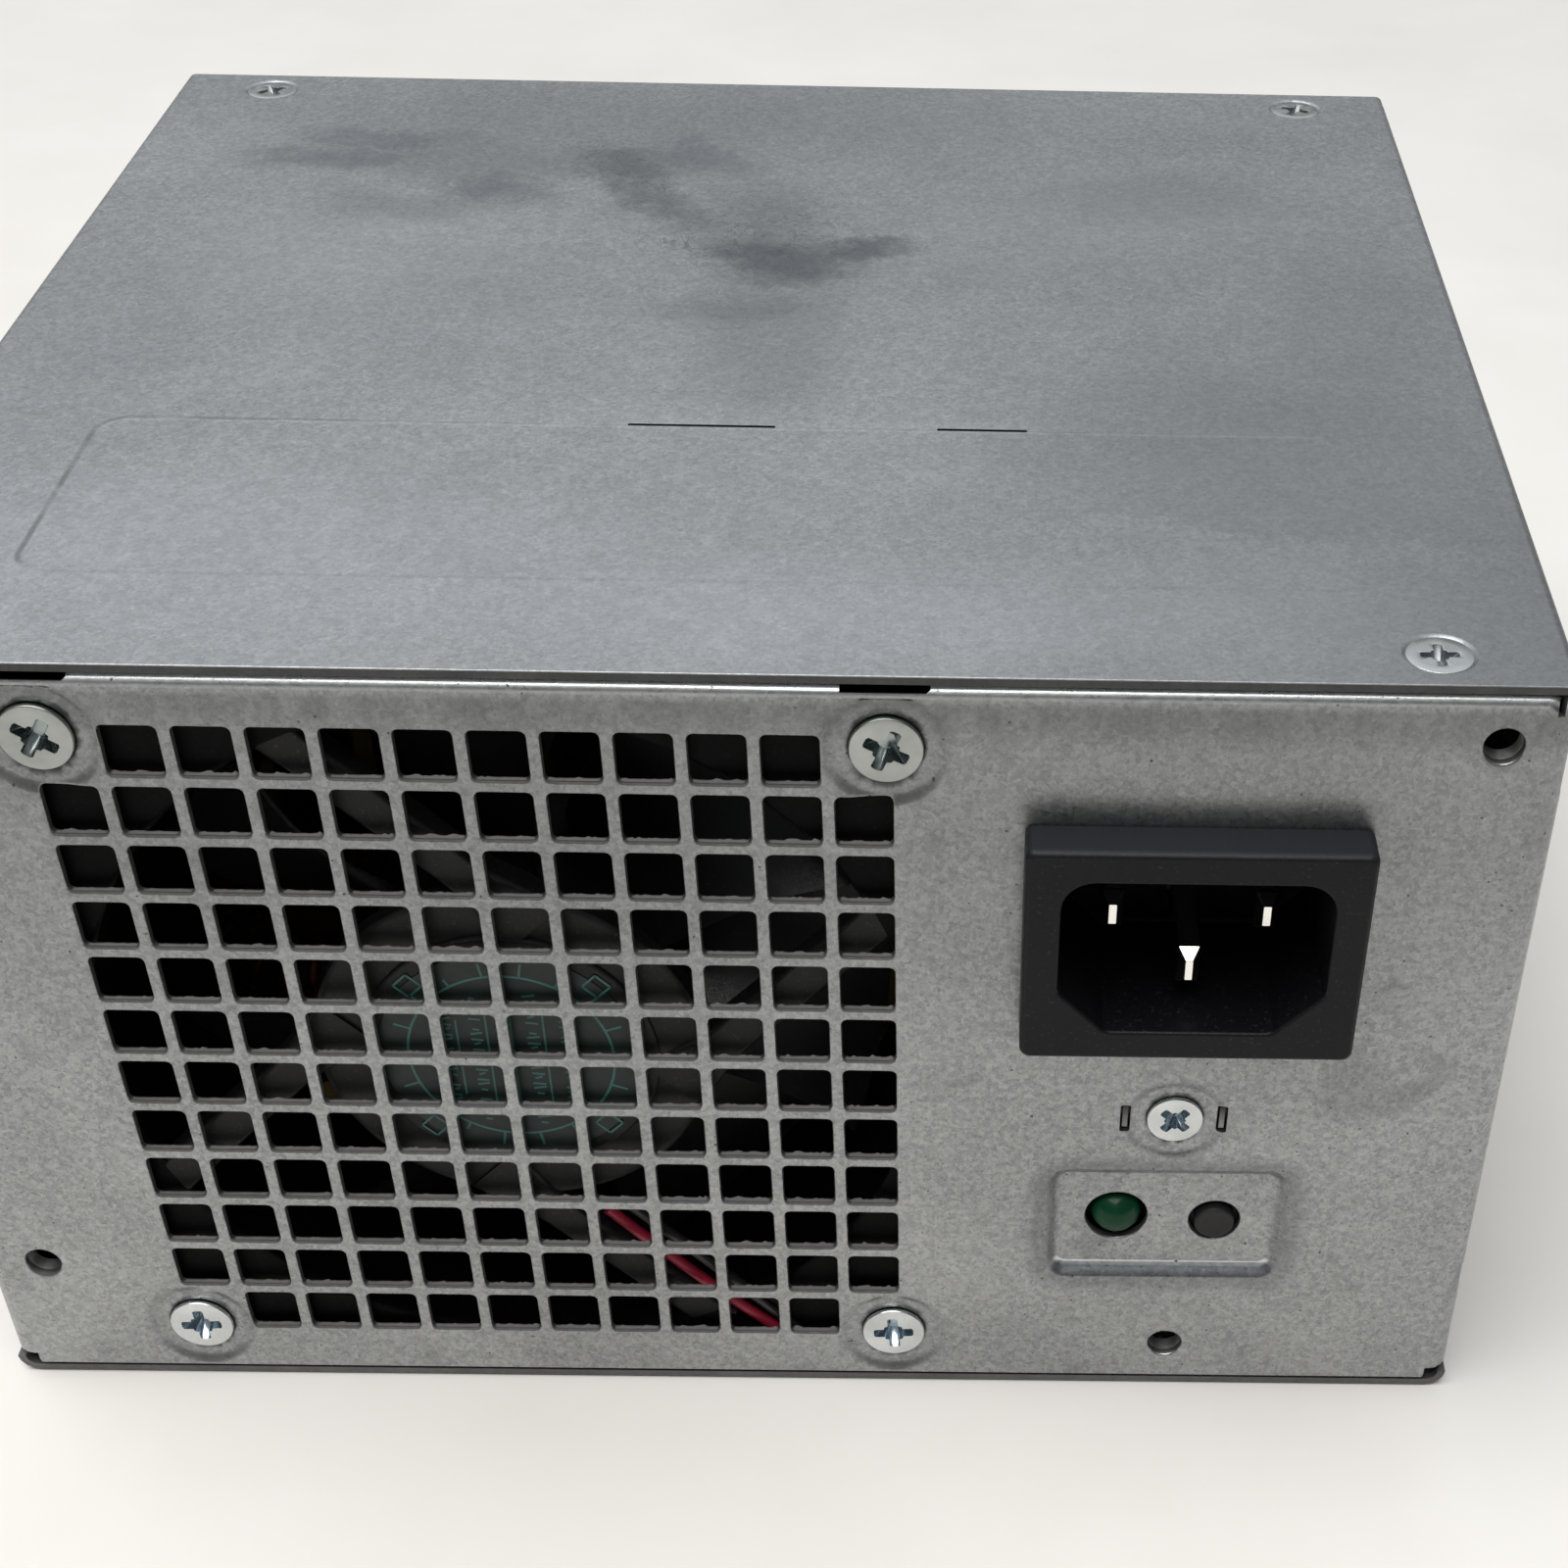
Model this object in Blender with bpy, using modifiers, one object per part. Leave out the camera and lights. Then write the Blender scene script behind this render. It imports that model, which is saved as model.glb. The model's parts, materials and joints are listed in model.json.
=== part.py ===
"""PC power supply unit (ATX / PS2 case), as an assembly of separate solids.

World frame: metres, +Z up, origin at the middle of the base.  The rear
(mounting) panel faces -Y, the output cables leave through the front wall (+Y).
All design figures are in millimetres; the helpers convert to metres.  They take
x from the middle, y from the rear panel's outer face towards the front, and z
from the base.  A span is a (low, high) pair along one axis.
"""

import math

import bmesh
import bpy
from mathutils import Matrix, Vector

MM = 0.001

# ---------------------------------------------------------- shared dimensions
WIDTH, DEPTH, HEIGHT = 150.0, 140.0, 86.0      # standard PS2 case
HALF_WIDTH = WIDTH / 2
SHEET = 0.8                                    # steel sheet
BEND = 2.0                                     # outer radius of the case bends
LID_GAP = 0.3                                  # clearance between lid and tray
LID_Z = HEIGHT - SHEET                         # underside of the lid
WALL_TOP = LID_Z - LID_GAP                     # top edge of the tray walls
LIP_Z = HEIGHT - 10.0                          # lower edge of the lid's side lips
LIP_FRONT = 2.3                                # lips stop this far from either end
OVER = 1.0                                     # how far cutters run past a surface

FAN_X, FAN_Z = FAN_AXIS = (-19.0, 43.0)
FAN_HOLE_PITCH = 71.5
FAN_CORNERS = [(FAN_X + i * FAN_HOLE_PITCH / 2, FAN_Z + j * FAN_HOLE_PITCH / 2)
               for j in (1, -1) for i in (-1, 1)]

INLET_X, INLET_Z = 43.95, 60.0
INLET_BODY_HALF = (13.2, 9.4)                  # half width, half height
INLET_FIT = 0.4                                # gap round the body in the panel

LED_X, LED_Z = LED_AXIS = (39.1, 23.4)
BUTTON_X, BUTTON_Z = BUTTON_AXIS = (48.95, 22.9)
BRACKET_SCREW_AXIS = (44.0, 37.25)
BRACKET_TAB_XS, BRACKET_TAB_Z = (39.2, 48.5), 37.5

LID_SCREWS = [(x, y) for y in (5.1, DEPTH - 5.1) for x in (63.4, -63.4)]
BOSSES = [(x, y) for y in (38.0, 128.0) for x in (-60.0, 60.0)]
BOARD_Z, BOARD_T = 7.4, 1.6
DECK = BOARD_Z + BOARD_T + 0.3                 # components stand here
CABLE_X, CABLE_Z = CABLE_HOLE = (-48.0, 30.0)

# ---------------------------------------------------------------------- scene
for old in list(bpy.data.objects):
    bpy.data.objects.remove(old, do_unlink=True)

scene = bpy.context.scene
PARTS = bpy.data.collections.new("power_supply_unit")
TOOLS = bpy.data.collections.new("cutters")
scene.collection.children.link(PARTS)
scene.collection.children.link(TOOLS)


# ------------------------------------------------------------------ materials
def material(name, colour, roughness, metallic=0.0):
    made = bpy.data.materials.new(name)
    made.use_nodes = True
    shader = made.node_tree.nodes["Principled BSDF"]
    shader.inputs["Base Color"].default_value = (*colour, 1.0)
    shader.inputs["Roughness"].default_value = roughness
    shader.inputs["Metallic"].default_value = metallic
    made.diffuse_color = (*colour, 1.0)
    return made


STEEL = material("galvanised_steel", colour=(0.56, 0.57, 0.56), roughness=0.42, metallic=0.9)
LID = material("lid_steel", colour=(0.50, 0.52, 0.56), roughness=0.40, metallic=0.9)
ZINC = material("zinc_screw", colour=(0.72, 0.73, 0.71), roughness=0.25, metallic=1.0)
BRASS = material("plated_brass", colour=(0.75, 0.74, 0.70), roughness=0.25, metallic=1.0)
COPPER = material("copper_winding", colour=(0.55, 0.25, 0.10), roughness=0.35, metallic=0.8)
ALU = material("heatsink_aluminium", colour=(0.66, 0.67, 0.68), roughness=0.35, metallic=1.0)
BLACK = material("black_plastic", colour=(0.03, 0.03, 0.035), roughness=0.5)
FAN = material("fan_plastic", colour=(0.045, 0.045, 0.05), roughness=0.45)
BOARD = material("board_laminate", colour=(0.55, 0.42, 0.22), roughness=0.6)
GREEN = material("green_led", colour=(0.02, 0.16, 0.08), roughness=0.15)
GREY = material("dark_grey_plastic", colour=(0.10, 0.10, 0.105), roughness=0.45)
CLEAR = material("insulator_film", colour=(0.80, 0.80, 0.76), roughness=0.35)
SLEEVE = material("capacitor_sleeve", colour=(0.02, 0.03, 0.08), roughness=0.3)
YELLOW = material("yellow_film", colour=(0.70, 0.50, 0.06), roughness=0.4)
FERRITE = material("ferrite", colour=(0.05, 0.05, 0.052), roughness=0.6)
EPOXY = material("epoxy_package", colour=(0.02, 0.02, 0.022), roughness=0.45)
RED = material("red_insulation", colour=(0.50, 0.02, 0.03), roughness=0.4)
BROWN = material("brown_insulation", colour=(0.20, 0.08, 0.03), roughness=0.4)
BLUE = material("blue_insulation", colour=(0.03, 0.12, 0.50), roughness=0.4)
EARTH = material("earth_insulation", colour=(0.15, 0.40, 0.06), roughness=0.4)
BRAID = material("cable_sleeving", colour=(0.02, 0.02, 0.02), roughness=0.7)


# -------------------------------------------------------------------- helpers
def at(x, y, z):
    return Vector((x, y - DEPTH / 2, z)) * MM


def span(middle, half):
    return (middle - half, middle + half)


def grow(limits, amount):
    return (limits[0] - amount, limits[1] + amount)


def put(name, bm, mat, where):
    """Object from a bmesh.  Without a material it is a hidden boolean tool."""
    mesh = bpy.data.meshes.new(name)
    bmesh.ops.recalc_face_normals(bm, faces=bm.faces)
    bm.to_mesh(mesh)
    bm.free()
    obj = bpy.data.objects.new(name, mesh)
    obj.location = where
    if mat is None:
        TOOLS.objects.link(obj)
        obj.hide_render = True
        obj.display_type = "WIRE"
    else:
        PARTS.objects.link(obj)
        mesh.materials.append(mat)
    return obj


def box_mesh(size):
    bm = bmesh.new()
    bmesh.ops.create_cube(bm, size=1.0, matrix=Matrix.Diagonal((*(Vector(size) * MM), 1.0)))
    return bm


def span_box(*spans):
    """Box mesh of the spans' size, and the place of its middle."""
    size = [high - low for low, high in spans]
    return box_mesh(size), at(*(sum(limits) / 2 for limits in spans))


def block(name, x_span, y_span, z_span, mat=None, inset=0.0):
    """Box; an inset draws in the front (+Y) face on each side to make a frustum."""
    bm, where = span_box(x_span, y_span, z_span)
    if inset:
        for vert in bm.verts:
            if vert.co.y > 0:
                vert.co.x -= math.copysign(inset * MM, vert.co.x)
                vert.co.z -= math.copysign(inset * MM, vert.co.z)
    return put(name, bm, mat, where)


def rounded(name, x_span, y_span, z_span, pick, radius, segments, mat=None):
    """Box with the edges chosen by pick(midpoint, direction) rounded."""
    bm, where = span_box(x_span, y_span, z_span)
    edges = []
    for edge in bm.edges:
        start, end = (vert.co for vert in edge.verts)
        if pick((start + end) / 2, (end - start).normalized()):
            edges.append(edge)
    bmesh.ops.bevel(bm, geom=edges, offset=radius * MM, segments=segments,
                    profile=0.5, affect="EDGES")
    return put(name, bm, mat, where)


def box_tool(name, boxes):
    """One cutter made of many boxes, each given as (middle, size)."""
    bm = bmesh.new()
    for middle, size in boxes:
        bmesh.ops.create_cube(bm, size=1.0, matrix=Matrix.Translation(at(*middle))
                              @ Matrix.Diagonal((*(Vector(size) * MM), 1)))
    return put(name, bm, None, Vector((0, 0, 0)))


def rod(name, axis, place, start, length, radius, end_radius=None, mat=None, sides=12):
    """Cylinder or cone along +y, with place (x, z), or along +z, with place (x, y)."""
    if end_radius is None:
        end_radius = radius
    bm = bmesh.new()
    bmesh.ops.create_cone(bm, cap_ends=True, cap_tris=False, segments=sides,
                          radius1=radius * MM, radius2=end_radius * MM, depth=length * MM)
    bmesh.ops.translate(bm, verts=bm.verts, vec=(0, 0, length * MM / 2))
    where = at(*place, start)
    if axis == "y":
        bmesh.ops.transform(bm, verts=bm.verts, matrix=Matrix.Rotation(math.radians(-90), 4, "X"))
        where = at(place[0], start, place[1])
    return put(name, bm, mat, where)


def rods(name, axis, places, *shape, sides=12):
    """Numbered tool rods of one shape: start, length, radius and end radius."""
    return [rod(f"{name}_{i}", axis, place, *shape, sides=sides)
            for i, place in enumerate(places)]


def boolean(target, tool, operation):
    modifier = target.modifiers.new(tool.name, "BOOLEAN")
    modifier.operation = operation
    modifier.solver = "EXACT"
    modifier.object = tool


def cut(target, *tools):
    for tool in tools:
        boolean(target, tool, "DIFFERENCE")


def join(target, *tools):
    for tool in tools:
        boolean(target, tool, "UNION")


def outline(name, points, thickness, axis, where, mat=None):
    """Flat plate from a closed outline, in x-y for axis z or in x-z for axis y."""
    curve = bpy.data.curves.new(name, "CURVE")
    curve.dimensions = "2D"
    curve.fill_mode = "BOTH"
    curve.extrude = thickness * MM / 2
    spline = curve.splines.new("POLY")
    spline.points.add(len(points) - 1)
    for point, (across, along) in zip(spline.points, points):
        point.co = (across * MM, along * MM, 0.0, 1.0)
    spline.use_cyclic_u = True
    temp = bpy.data.objects.new(name + "_outline", curve)
    scene.collection.objects.link(temp)
    depsgraph = bpy.context.evaluated_depsgraph_get()
    mesh = bpy.data.meshes.new_from_object(temp.evaluated_get(depsgraph))
    bpy.data.objects.remove(temp, do_unlink=True)
    bpy.data.curves.remove(curve)
    bm = bmesh.new()
    bm.from_mesh(mesh)
    bpy.data.meshes.remove(mesh)
    bmesh.ops.remove_doubles(bm, verts=bm.verts, dist=0.000005)
    if axis == "y":
        bmesh.ops.transform(bm, verts=bm.verts, matrix=Matrix.Rotation(math.radians(90), 4, "X"))
    return put(name, bm, mat, at(*where))


TURNED_TILT = {"up": 0, "rear": 90, "front": -90}      # degrees about X


def turned(name, profile, mat, where, facing, steps):
    """Lathe-turned piece.  The profile is a chain of (radius, height) points,
    with height running towards the side it faces."""
    bm = bmesh.new()
    verts = [bm.verts.new((radius * MM, 0.0, height * MM)) for radius, height in profile]
    for pair in zip(verts, verts[1:]):
        bm.edges.new(pair)
    obj = put(name, bm, mat, at(*where))
    obj.rotation_euler = (math.radians(TURNED_TILT[facing]), 0, 0)
    turn = obj.modifiers.new("turn", "SCREW")
    turn.axis = "Z"
    turn.angle = 2 * math.pi
    turn.steps = turn.render_steps = steps
    turn.use_merge_vertices = True
    turn.merge_threshold = 0.00001
    turn.use_smooth_shade = True
    return obj


def bake(obj):
    """Turn the object's modifiers into one clean mesh."""
    depsgraph = bpy.context.evaluated_depsgraph_get()
    mesh = bpy.data.meshes.new_from_object(obj.evaluated_get(depsgraph))
    bm = bmesh.new()
    bm.from_mesh(mesh)
    bmesh.ops.remove_doubles(bm, verts=bm.verts, dist=0.000002)
    bmesh.ops.dissolve_degenerate(bm, edges=bm.edges, dist=0.000002)
    bmesh.ops.recalc_face_normals(bm, faces=bm.faces)
    bm.to_mesh(mesh)
    bm.free()
    obj.modifiers.clear()
    obj.data = mesh


def smooth_path(points, per):
    """Catmull-Rom curve through the points, with per steps between each two."""
    inner = [Vector(point) for point in points]
    chain = [inner[0] * 2 - inner[1]] + inner + [inner[-1] * 2 - inner[-2]]
    path = []
    for before, start, end, after in zip(chain, chain[1:], chain[2:], chain[3:]):
        for k in range(per):
            t = k / per
            path.append(0.5 * ((2 * start) + (end - before) * t
                               + (2 * before - 5 * start + 4 * end - after) * t * t
                               + (3 * start - before - 3 * end + after) * t ** 3))
    path.append(inner[-1])
    return path


def wire(name, points, radius, mat, per, roundness):
    """Round cable through the points (x, y, z)."""
    curve = bpy.data.curves.new(name, "CURVE")
    curve.dimensions = "3D"
    curve.bevel_depth = radius * MM
    curve.bevel_resolution = roundness
    curve.use_fill_caps = True
    path = smooth_path(points, per)
    spline = curve.splines.new("POLY")
    spline.points.add(len(path) - 1)
    for point, place in zip(spline.points, path):
        point.co = (*at(*place), 1.0)
    PARTS.objects.link(bpy.data.objects.new(name, curve))
    curve.materials.append(mat)


def ring(name, where, major, minor, mat):
    """Torus lying flat."""
    bpy.ops.mesh.primitive_torus_add(major_radius=major * MM, minor_radius=minor * MM,
                                     major_segments=16, minor_segments=6,
                                     location=at(*where), rotation=(0, 0, 0))
    obj = bpy.context.active_object
    obj.name = name
    for collection in list(obj.users_collection):
        collection.objects.unlink(obj)
    PARTS.objects.link(obj)
    obj.data.materials.append(mat)
    obj.data.shade_smooth()


# --------------------------------------------------------------------- screws
# head radius, shank radius, height of the cone under the head, length
COVER_SCREW = (2.95, 1.4, 0.7, 6.0)
FAN_SCREW = (3.2, 1.95, 1.0, 10.0)
BRACKET_SCREW = (2.7, 1.4, 0.9, 6.0)
BOARD_SCREW = (2.8, 1.25, 0.0, 6.0)
HEAD_RIM = 0.3
RECESS_WIDTH, RECESS_DEPTH, RECESS_ANGLE = 0.9, 0.9, 23
RECESS_RATIO = 1.15                            # recess size over head radius


def cross(size, width):
    s, w = size / 2, width / 2
    return [(w, w), (w, s), (-w, s), (-w, w), (-s, w), (-s, -w),
            (-w, -w), (-w, -s), (w, -s), (w, -w), (s, -w), (s, w)]


def screw(name, where, facing, shape, recess=True):
    """Flat-head screw; where is the middle of the head's face."""
    head, shank, cone, length = shape
    profile = [(0, 0), (head, 0), (head, -HEAD_RIM), (shank, -HEAD_RIM - cone),
               (shank, -length + shank * 0.6), (shank * 0.4, -length), (0, -length)]
    obj = turned(name, profile, ZINC, where, facing, steps=12)
    if recess:
        bake(obj)
        angle = math.radians(RECESS_ANGLE)
        axis, spin = ("z", (0, 0, angle)) if facing == "up" else ("y", (0, angle, 0))
        tool = outline(name + "_drive", cross(head * RECESS_RATIO, RECESS_WIDTH),
                       RECESS_DEPTH * 2, axis, where)
        tool.rotation_euler = spin
        cut(obj, tool)


# --------------------------------------------------------------- chassis tray
# Folded tray: base, two side walls, rear panel and front wall in one sheet.
PANEL_CUT = (-OVER, 2.0)                       # y span of cuts through the rear panel
ABOVE = HEIGHT + 5                             # top of cutters open upwards
FLANGE_INSET, FLANGE_DEPTH = 1.4, 9.5
NOTCH_XS, NOTCH_Y, NOTCH_Z = ((-58.3, -50.9), (12.9, 20.5)), (-OVER, 2.6), (83.4, 88)
SEAM_INSET, SEAM_Y, SEAM_Z = 2.4, (-OVER, 1.3), (SHEET, 1.2)
RELIEF_INSETS, RELIEF_Y, RELIEF_Z = (2.6, 0.9), (-OVER, 1.8), (SHEET + 0.1, 2.6)
PAD_X, PAD_Z, PAD_DEPTH = (32.6, 55.3), (16.4, 30.0), 1.2
PAD_MARGIN = 0.6                               # the pad's back is this much larger
SLOT_HALF = (0.5, 1.65)                        # bracket slots: half width, half height

MOUNT_HOLES = ((69.0, 80.0), (-69.0, 80.0), (-69.0, 16.0), (45.0, 6.0))

# Round features: start along the axis, length, radius, end radius if it differs
FAN_DIMPLE_BACK = (0.5, 0.7, 6.0, 4.9)
FAN_DIMPLE = (-0.35, 0.75, 7.1, 4.6)
FAN_SCREW_HOLE = (0.35, 1.2, 3.7, 2.5)
BRACKET_DIMPLE_BACK = (0.5, 0.7, 4.6, 3.8)
BRACKET_DIMPLE = (-0.35, 0.7, 5.0, 3.5)
BRACKET_HOLE = (0.3, 1.3, 3.0, 1.9)
MOUNT_COLLAR = (0.5, 1.9, 2.7, 2.5)
MOUNT_HOLE = (-OVER, 5, 1.75)
LED_HOLE = (-0.5, 4, 3.1)
BUTTON_HOLE = (-0.5, 4, 2.55)
BOSS = (0.5, 6.5, 5.6, 3.3)
BOSS_UNDER = (-0.5, 6.6, 5.1, 2.6)
BOSS_HOLE = (5, 4, 1.6)
CABLE_OUTLET = (DEPTH - 4, 8, 13.0)
LID_SCREW_HOLE = (WALL_TOP - 3, 5, 1.75)

GRILLE_N, GRILLE_PITCH, GRILLE_HOLE = 12, 6.178, 5.0
GRILLE_X0, GRILLE_Z0 = -53.16, 77.55           # first hole of the top row
PUNCH_DEPTH = 5.0                              # y size of the grille and slot cutters
VENT_COLUMNS, VENT_X0, VENT_PITCH, VENT_WIDTH = 12, -28.0, 8.0, 4
VENT_ROWS = ((46.0, 74.0, 0), (14.0, 38.0, 4))  # bottom, top, first column


def case_edges(middle, direction):
    return abs(direction.z) > 0.9 or (abs(direction.y) > 0.9 and middle.z < 0)


def tray_shell():
    inside = (SHEET, DEPTH - SHEET)
    tray = rounded("chassis_tray", span(0, HALF_WIDTH), (0, DEPTH), (0, WALL_TOP),
                   case_edges, BEND, 2, STEEL)
    cut(tray,
        rounded("tray_hollow_low", span(0, HALF_WIDTH - SHEET), inside,
                (SHEET, LIP_Z - 1.2), case_edges, BEND - SHEET, 2),
        block("tray_hollow_high", span(0, HALF_WIDTH - 2 * SHEET - LID_GAP), inside,
              (LIP_Z - 6, ABOVE)))
    # joggle of the side walls, so that the lid's lips sit flush outside them
    for side in (-1, 1):
        x_span = sorted((side * (HALF_WIDTH - SHEET - LID_GAP), side * (HALF_WIDTH + 2)))
        cut(tray, block(f"joggle_{side}", x_span,
                        (LIP_FRONT - LID_GAP, DEPTH - LIP_FRONT + LID_GAP),
                        (LIP_Z - LID_GAP, ABOVE)))
    # turned-in flanges under the lid
    for label, y_span in (("rear", (SHEET / 2, FLANGE_DEPTH)),
                          ("front", (DEPTH - FLANGE_DEPTH, DEPTH - SHEET / 2))):
        join(tray, block(f"flange_{label}", span(0, HALF_WIDTH - FLANGE_INSET), y_span,
                         (WALL_TOP - SHEET, WALL_TOP)))
    # relief notches in the rear panel's upper bend
    for i, x_span in enumerate(NOTCH_XS):
        cut(tray, block(f"bend_notch_{i}", x_span, NOTCH_Y, NOTCH_Z))
    # open seam between the rear panel and the base, with corner reliefs
    cut(tray, block("base_seam", span(0, HALF_WIDTH - SEAM_INSET), SEAM_Y, SEAM_Z))
    for side in (-1, 1):
        x_span = sorted(side * (HALF_WIDTH - inset) for inset in RELIEF_INSETS)
        cut(tray, block(f"corner_relief_{side}", x_span, RELIEF_Y, RELIEF_Z))
    return tray


def add_tray_bosses(tray):
    """Inward bosses, which come before everything that is cut through them."""
    join(tray,
         block("pad_back", grow(PAD_X, PAD_MARGIN), (0.4, PAD_DEPTH + SHEET),
               grow(PAD_Z, PAD_MARGIN), inset=0.9),
         *rods("fan_dimple_back", "y", FAN_CORNERS, *FAN_DIMPLE_BACK),
         rod("bracket_dimple_back", "y", BRACKET_SCREW_AXIS, *BRACKET_DIMPLE_BACK),
         *rods("mount_collar", "y", MOUNT_HOLES, *MOUNT_COLLAR),
         *rods("boss", "z", BOSSES, *BOSS))


def cut_rear_panel(tray):
    cut(tray, block("pad_recess", PAD_X, (-1.2, PAD_DEPTH), PAD_Z, inset=1.0))
    for pair in zip(rods("fan_dimple", "y", FAN_CORNERS, *FAN_DIMPLE),
                    rods("fan_hole", "y", FAN_CORNERS, *FAN_SCREW_HOLE)):
        cut(tray, *pair)
    cut(tray, rod("bracket_dimple", "y", BRACKET_SCREW_AXIS, *BRACKET_DIMPLE),
        rod("bracket_hole", "y", BRACKET_SCREW_AXIS, *BRACKET_HOLE))
    for i, x in enumerate(BRACKET_TAB_XS):
        cut(tray, block(f"bracket_slot_{i}", span(x, SLOT_HALF[0]), PANEL_CUT,
                        span(BRACKET_TAB_Z, SLOT_HALF[1])))
    cut(tray,
        *rods("mount_hole", "y", MOUNT_HOLES, *MOUNT_HOLE),
        rod("led_hole", "y", LED_AXIS, *LED_HOLE, sides=20),
        rod("button_hole", "y", BUTTON_AXIS, *BUTTON_HOLE, sides=20),
        block("inlet_hole", span(INLET_X, INLET_BODY_HALF[0] + INLET_FIT), PANEL_CUT,
              span(INLET_Z, INLET_BODY_HALF[1] + INLET_FIT)))


def grille_boxes():
    """Square grid of holes with the four corner holes left out."""
    ends = (0, GRILLE_N - 1)
    return [((GRILLE_X0 + i * GRILLE_PITCH, SHEET / 2, GRILLE_Z0 - j * GRILLE_PITCH),
             (GRILLE_HOLE, PUNCH_DEPTH, GRILLE_HOLE))
            for j in range(GRILLE_N) for i in range(GRILLE_N)
            if not (i in ends and j in ends)]


def vent_boxes():
    """Exhaust slots in the front wall."""
    return [((VENT_X0 + i * VENT_PITCH, DEPTH - SHEET / 2, (bottom + top) / 2),
             (VENT_WIDTH, PUNCH_DEPTH, top - bottom))
            for bottom, top, first in VENT_ROWS for i in range(first, VENT_COLUMNS)]


def build_tray():
    tray = tray_shell()
    add_tray_bosses(tray)
    cut_rear_panel(tray)
    for pair in zip(rods("boss_under", "z", BOSSES, *BOSS_UNDER),
                    rods("boss_hole", "z", BOSSES, *BOSS_HOLE)):
        cut(tray, *pair)
    cut(tray,
        box_tool("grille_holes", grille_boxes()),
        box_tool("front_slots", vent_boxes()),
        rod("cable_hole", "y", CABLE_HOLE, *CABLE_OUTLET, sides=24),
        *rods("lid_screw_hole", "z", LID_SCREWS, *LID_SCREW_HOLE))


# ------------------------------------------------------------------ top cover
LID_END_GAP, LID_BEND = 0.1, 1.0
EMBOSS_X, EMBOSS_Y, EMBOSS_DEPTH = (-60, 59), (15, 45.2), 0.3
SLIT_XS, SLIT_Y, SLIT_DEPTH = ((-9.1, 4.7), (20.3, 29.9)), (44.9, 45.7), 3
LID_SINK = (LID_Z - 0.15, 1.05, 2.5, 3.6)      # start, length, radius, end radius


def build_top_cover():
    along = (-OVER, DEPTH + OVER)
    lid = rounded("top_cover", span(0, HALF_WIDTH), (LID_END_GAP, DEPTH - LID_END_GAP),
                  (LIP_Z, HEIGHT),
                  lambda middle, direction: abs(direction.y) > 0.9 and middle.z > 0,
                  LID_BEND, 2, LID)
    cut(lid, block("lid_hollow", span(0, HALF_WIDTH - SHEET), along, (0, LID_Z)))
    for label, y_span in (("rear", (-OVER, LIP_FRONT)),
                          ("front", (DEPTH - LIP_FRONT, DEPTH + OVER))):
        cut(lid, block(f"lid_end_{label}", span(0, HALF_WIDTH + OVER), y_span,
                       (LIP_Z - OVER, LID_Z)))
    cut(lid, block("lid_emboss", EMBOSS_X, EMBOSS_Y, (HEIGHT - EMBOSS_DEPTH, HEIGHT + OVER)))
    for i, x_span in enumerate(SLIT_XS):
        cut(lid, block(f"lid_slit_{i}", x_span, SLIT_Y, (HEIGHT - SLIT_DEPTH, HEIGHT + OVER)))
    cut(lid, *rods("lid_sink", "z", LID_SCREWS, *LID_SINK, sides=16))
    for i, (x, y) in enumerate(LID_SCREWS):
        screw(f"cover_screw_{i + 1}", (x, y, HEIGHT - 0.1), "up", COVER_SCREW)


# ------------------------------------------------------------------------ fan
FAN_FACE, FAN_SIZE, FAN_THICK = 1.5, 80.0, 25.0
FAN_END = FAN_FACE + FAN_THICK
FAN_CORNER_R, FAN_BORE, FAN_HOLE_R = 4.0, 38.0, 2.3
FAN_THROUGH = (FAN_FACE - OVER, FAN_THICK + 2 * OVER)  # start and length of full cuts
HUB_R, HUB_THICK = 18.6, 2.6
STRUT_OFFSET, STRUT_MIDDLE = 13.1, 24.0        # off the radius, out along it
STRUT_SIZE = (4.0, 3.0, 29.0)
LEAD_NOTCH_SIZE = (4.4, 4.4, 18)
LEAD_NOTCH_MIDDLE = (5.5, FAN_FACE + 0.9, 5.7)

# Turned fan parts: start, length, radius
HUB_PLATE = (FAN_FACE + 0.1, HUB_THICK, HUB_R)
BEARING_TUBE = (FAN_FACE + 1.5, 14.0, 4.4)
BEARING_BORE = (FAN_FACE + 1.2, 20.0, 3.3)
SHAFT_R = 1.5
BEARING = (FAN_FACE + 3.2, 12.0, 3.0)
BEARING_HOLE = (FAN_FACE + 2, 16, SHAFT_R + 0.1)
STATOR = (FAN_FACE + 4.2, 10.5, 13.0)
STATOR_HOLE = (FAN_FACE + 3, 14, 4.7)

CUP_R, CUP_WALL, CUP_FLOOR = 15.6, 1.4, 1.6
CUP_START = FAN_FACE + HUB_THICK + 0.9
CUP_END = FAN_END - 1.0
CUP_DEPTH = CUP_END - CUP_START
SHAFT_START, SHAFT_END = FAN_FACE + 3.6, CUP_END - 2.2

BLADES, BLADE_PITCH, BLADE_TURN = 7, 38.0, 12  # count, pitch angle, first blade's turn
BLADE_ROOT, BLADE_TIP = CUP_R - 1.0, 35.4      # radii; the root is sunk in the cup
BLADE_CHORD, BLADE_THICK = 23.0, 1.3
BLADE_TAPER = 0.72                             # root chord over tip chord

# Fan leads run from the hub and over the frame down to a shared kind of tail.
FAN_LEAD_R = 0.55
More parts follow.
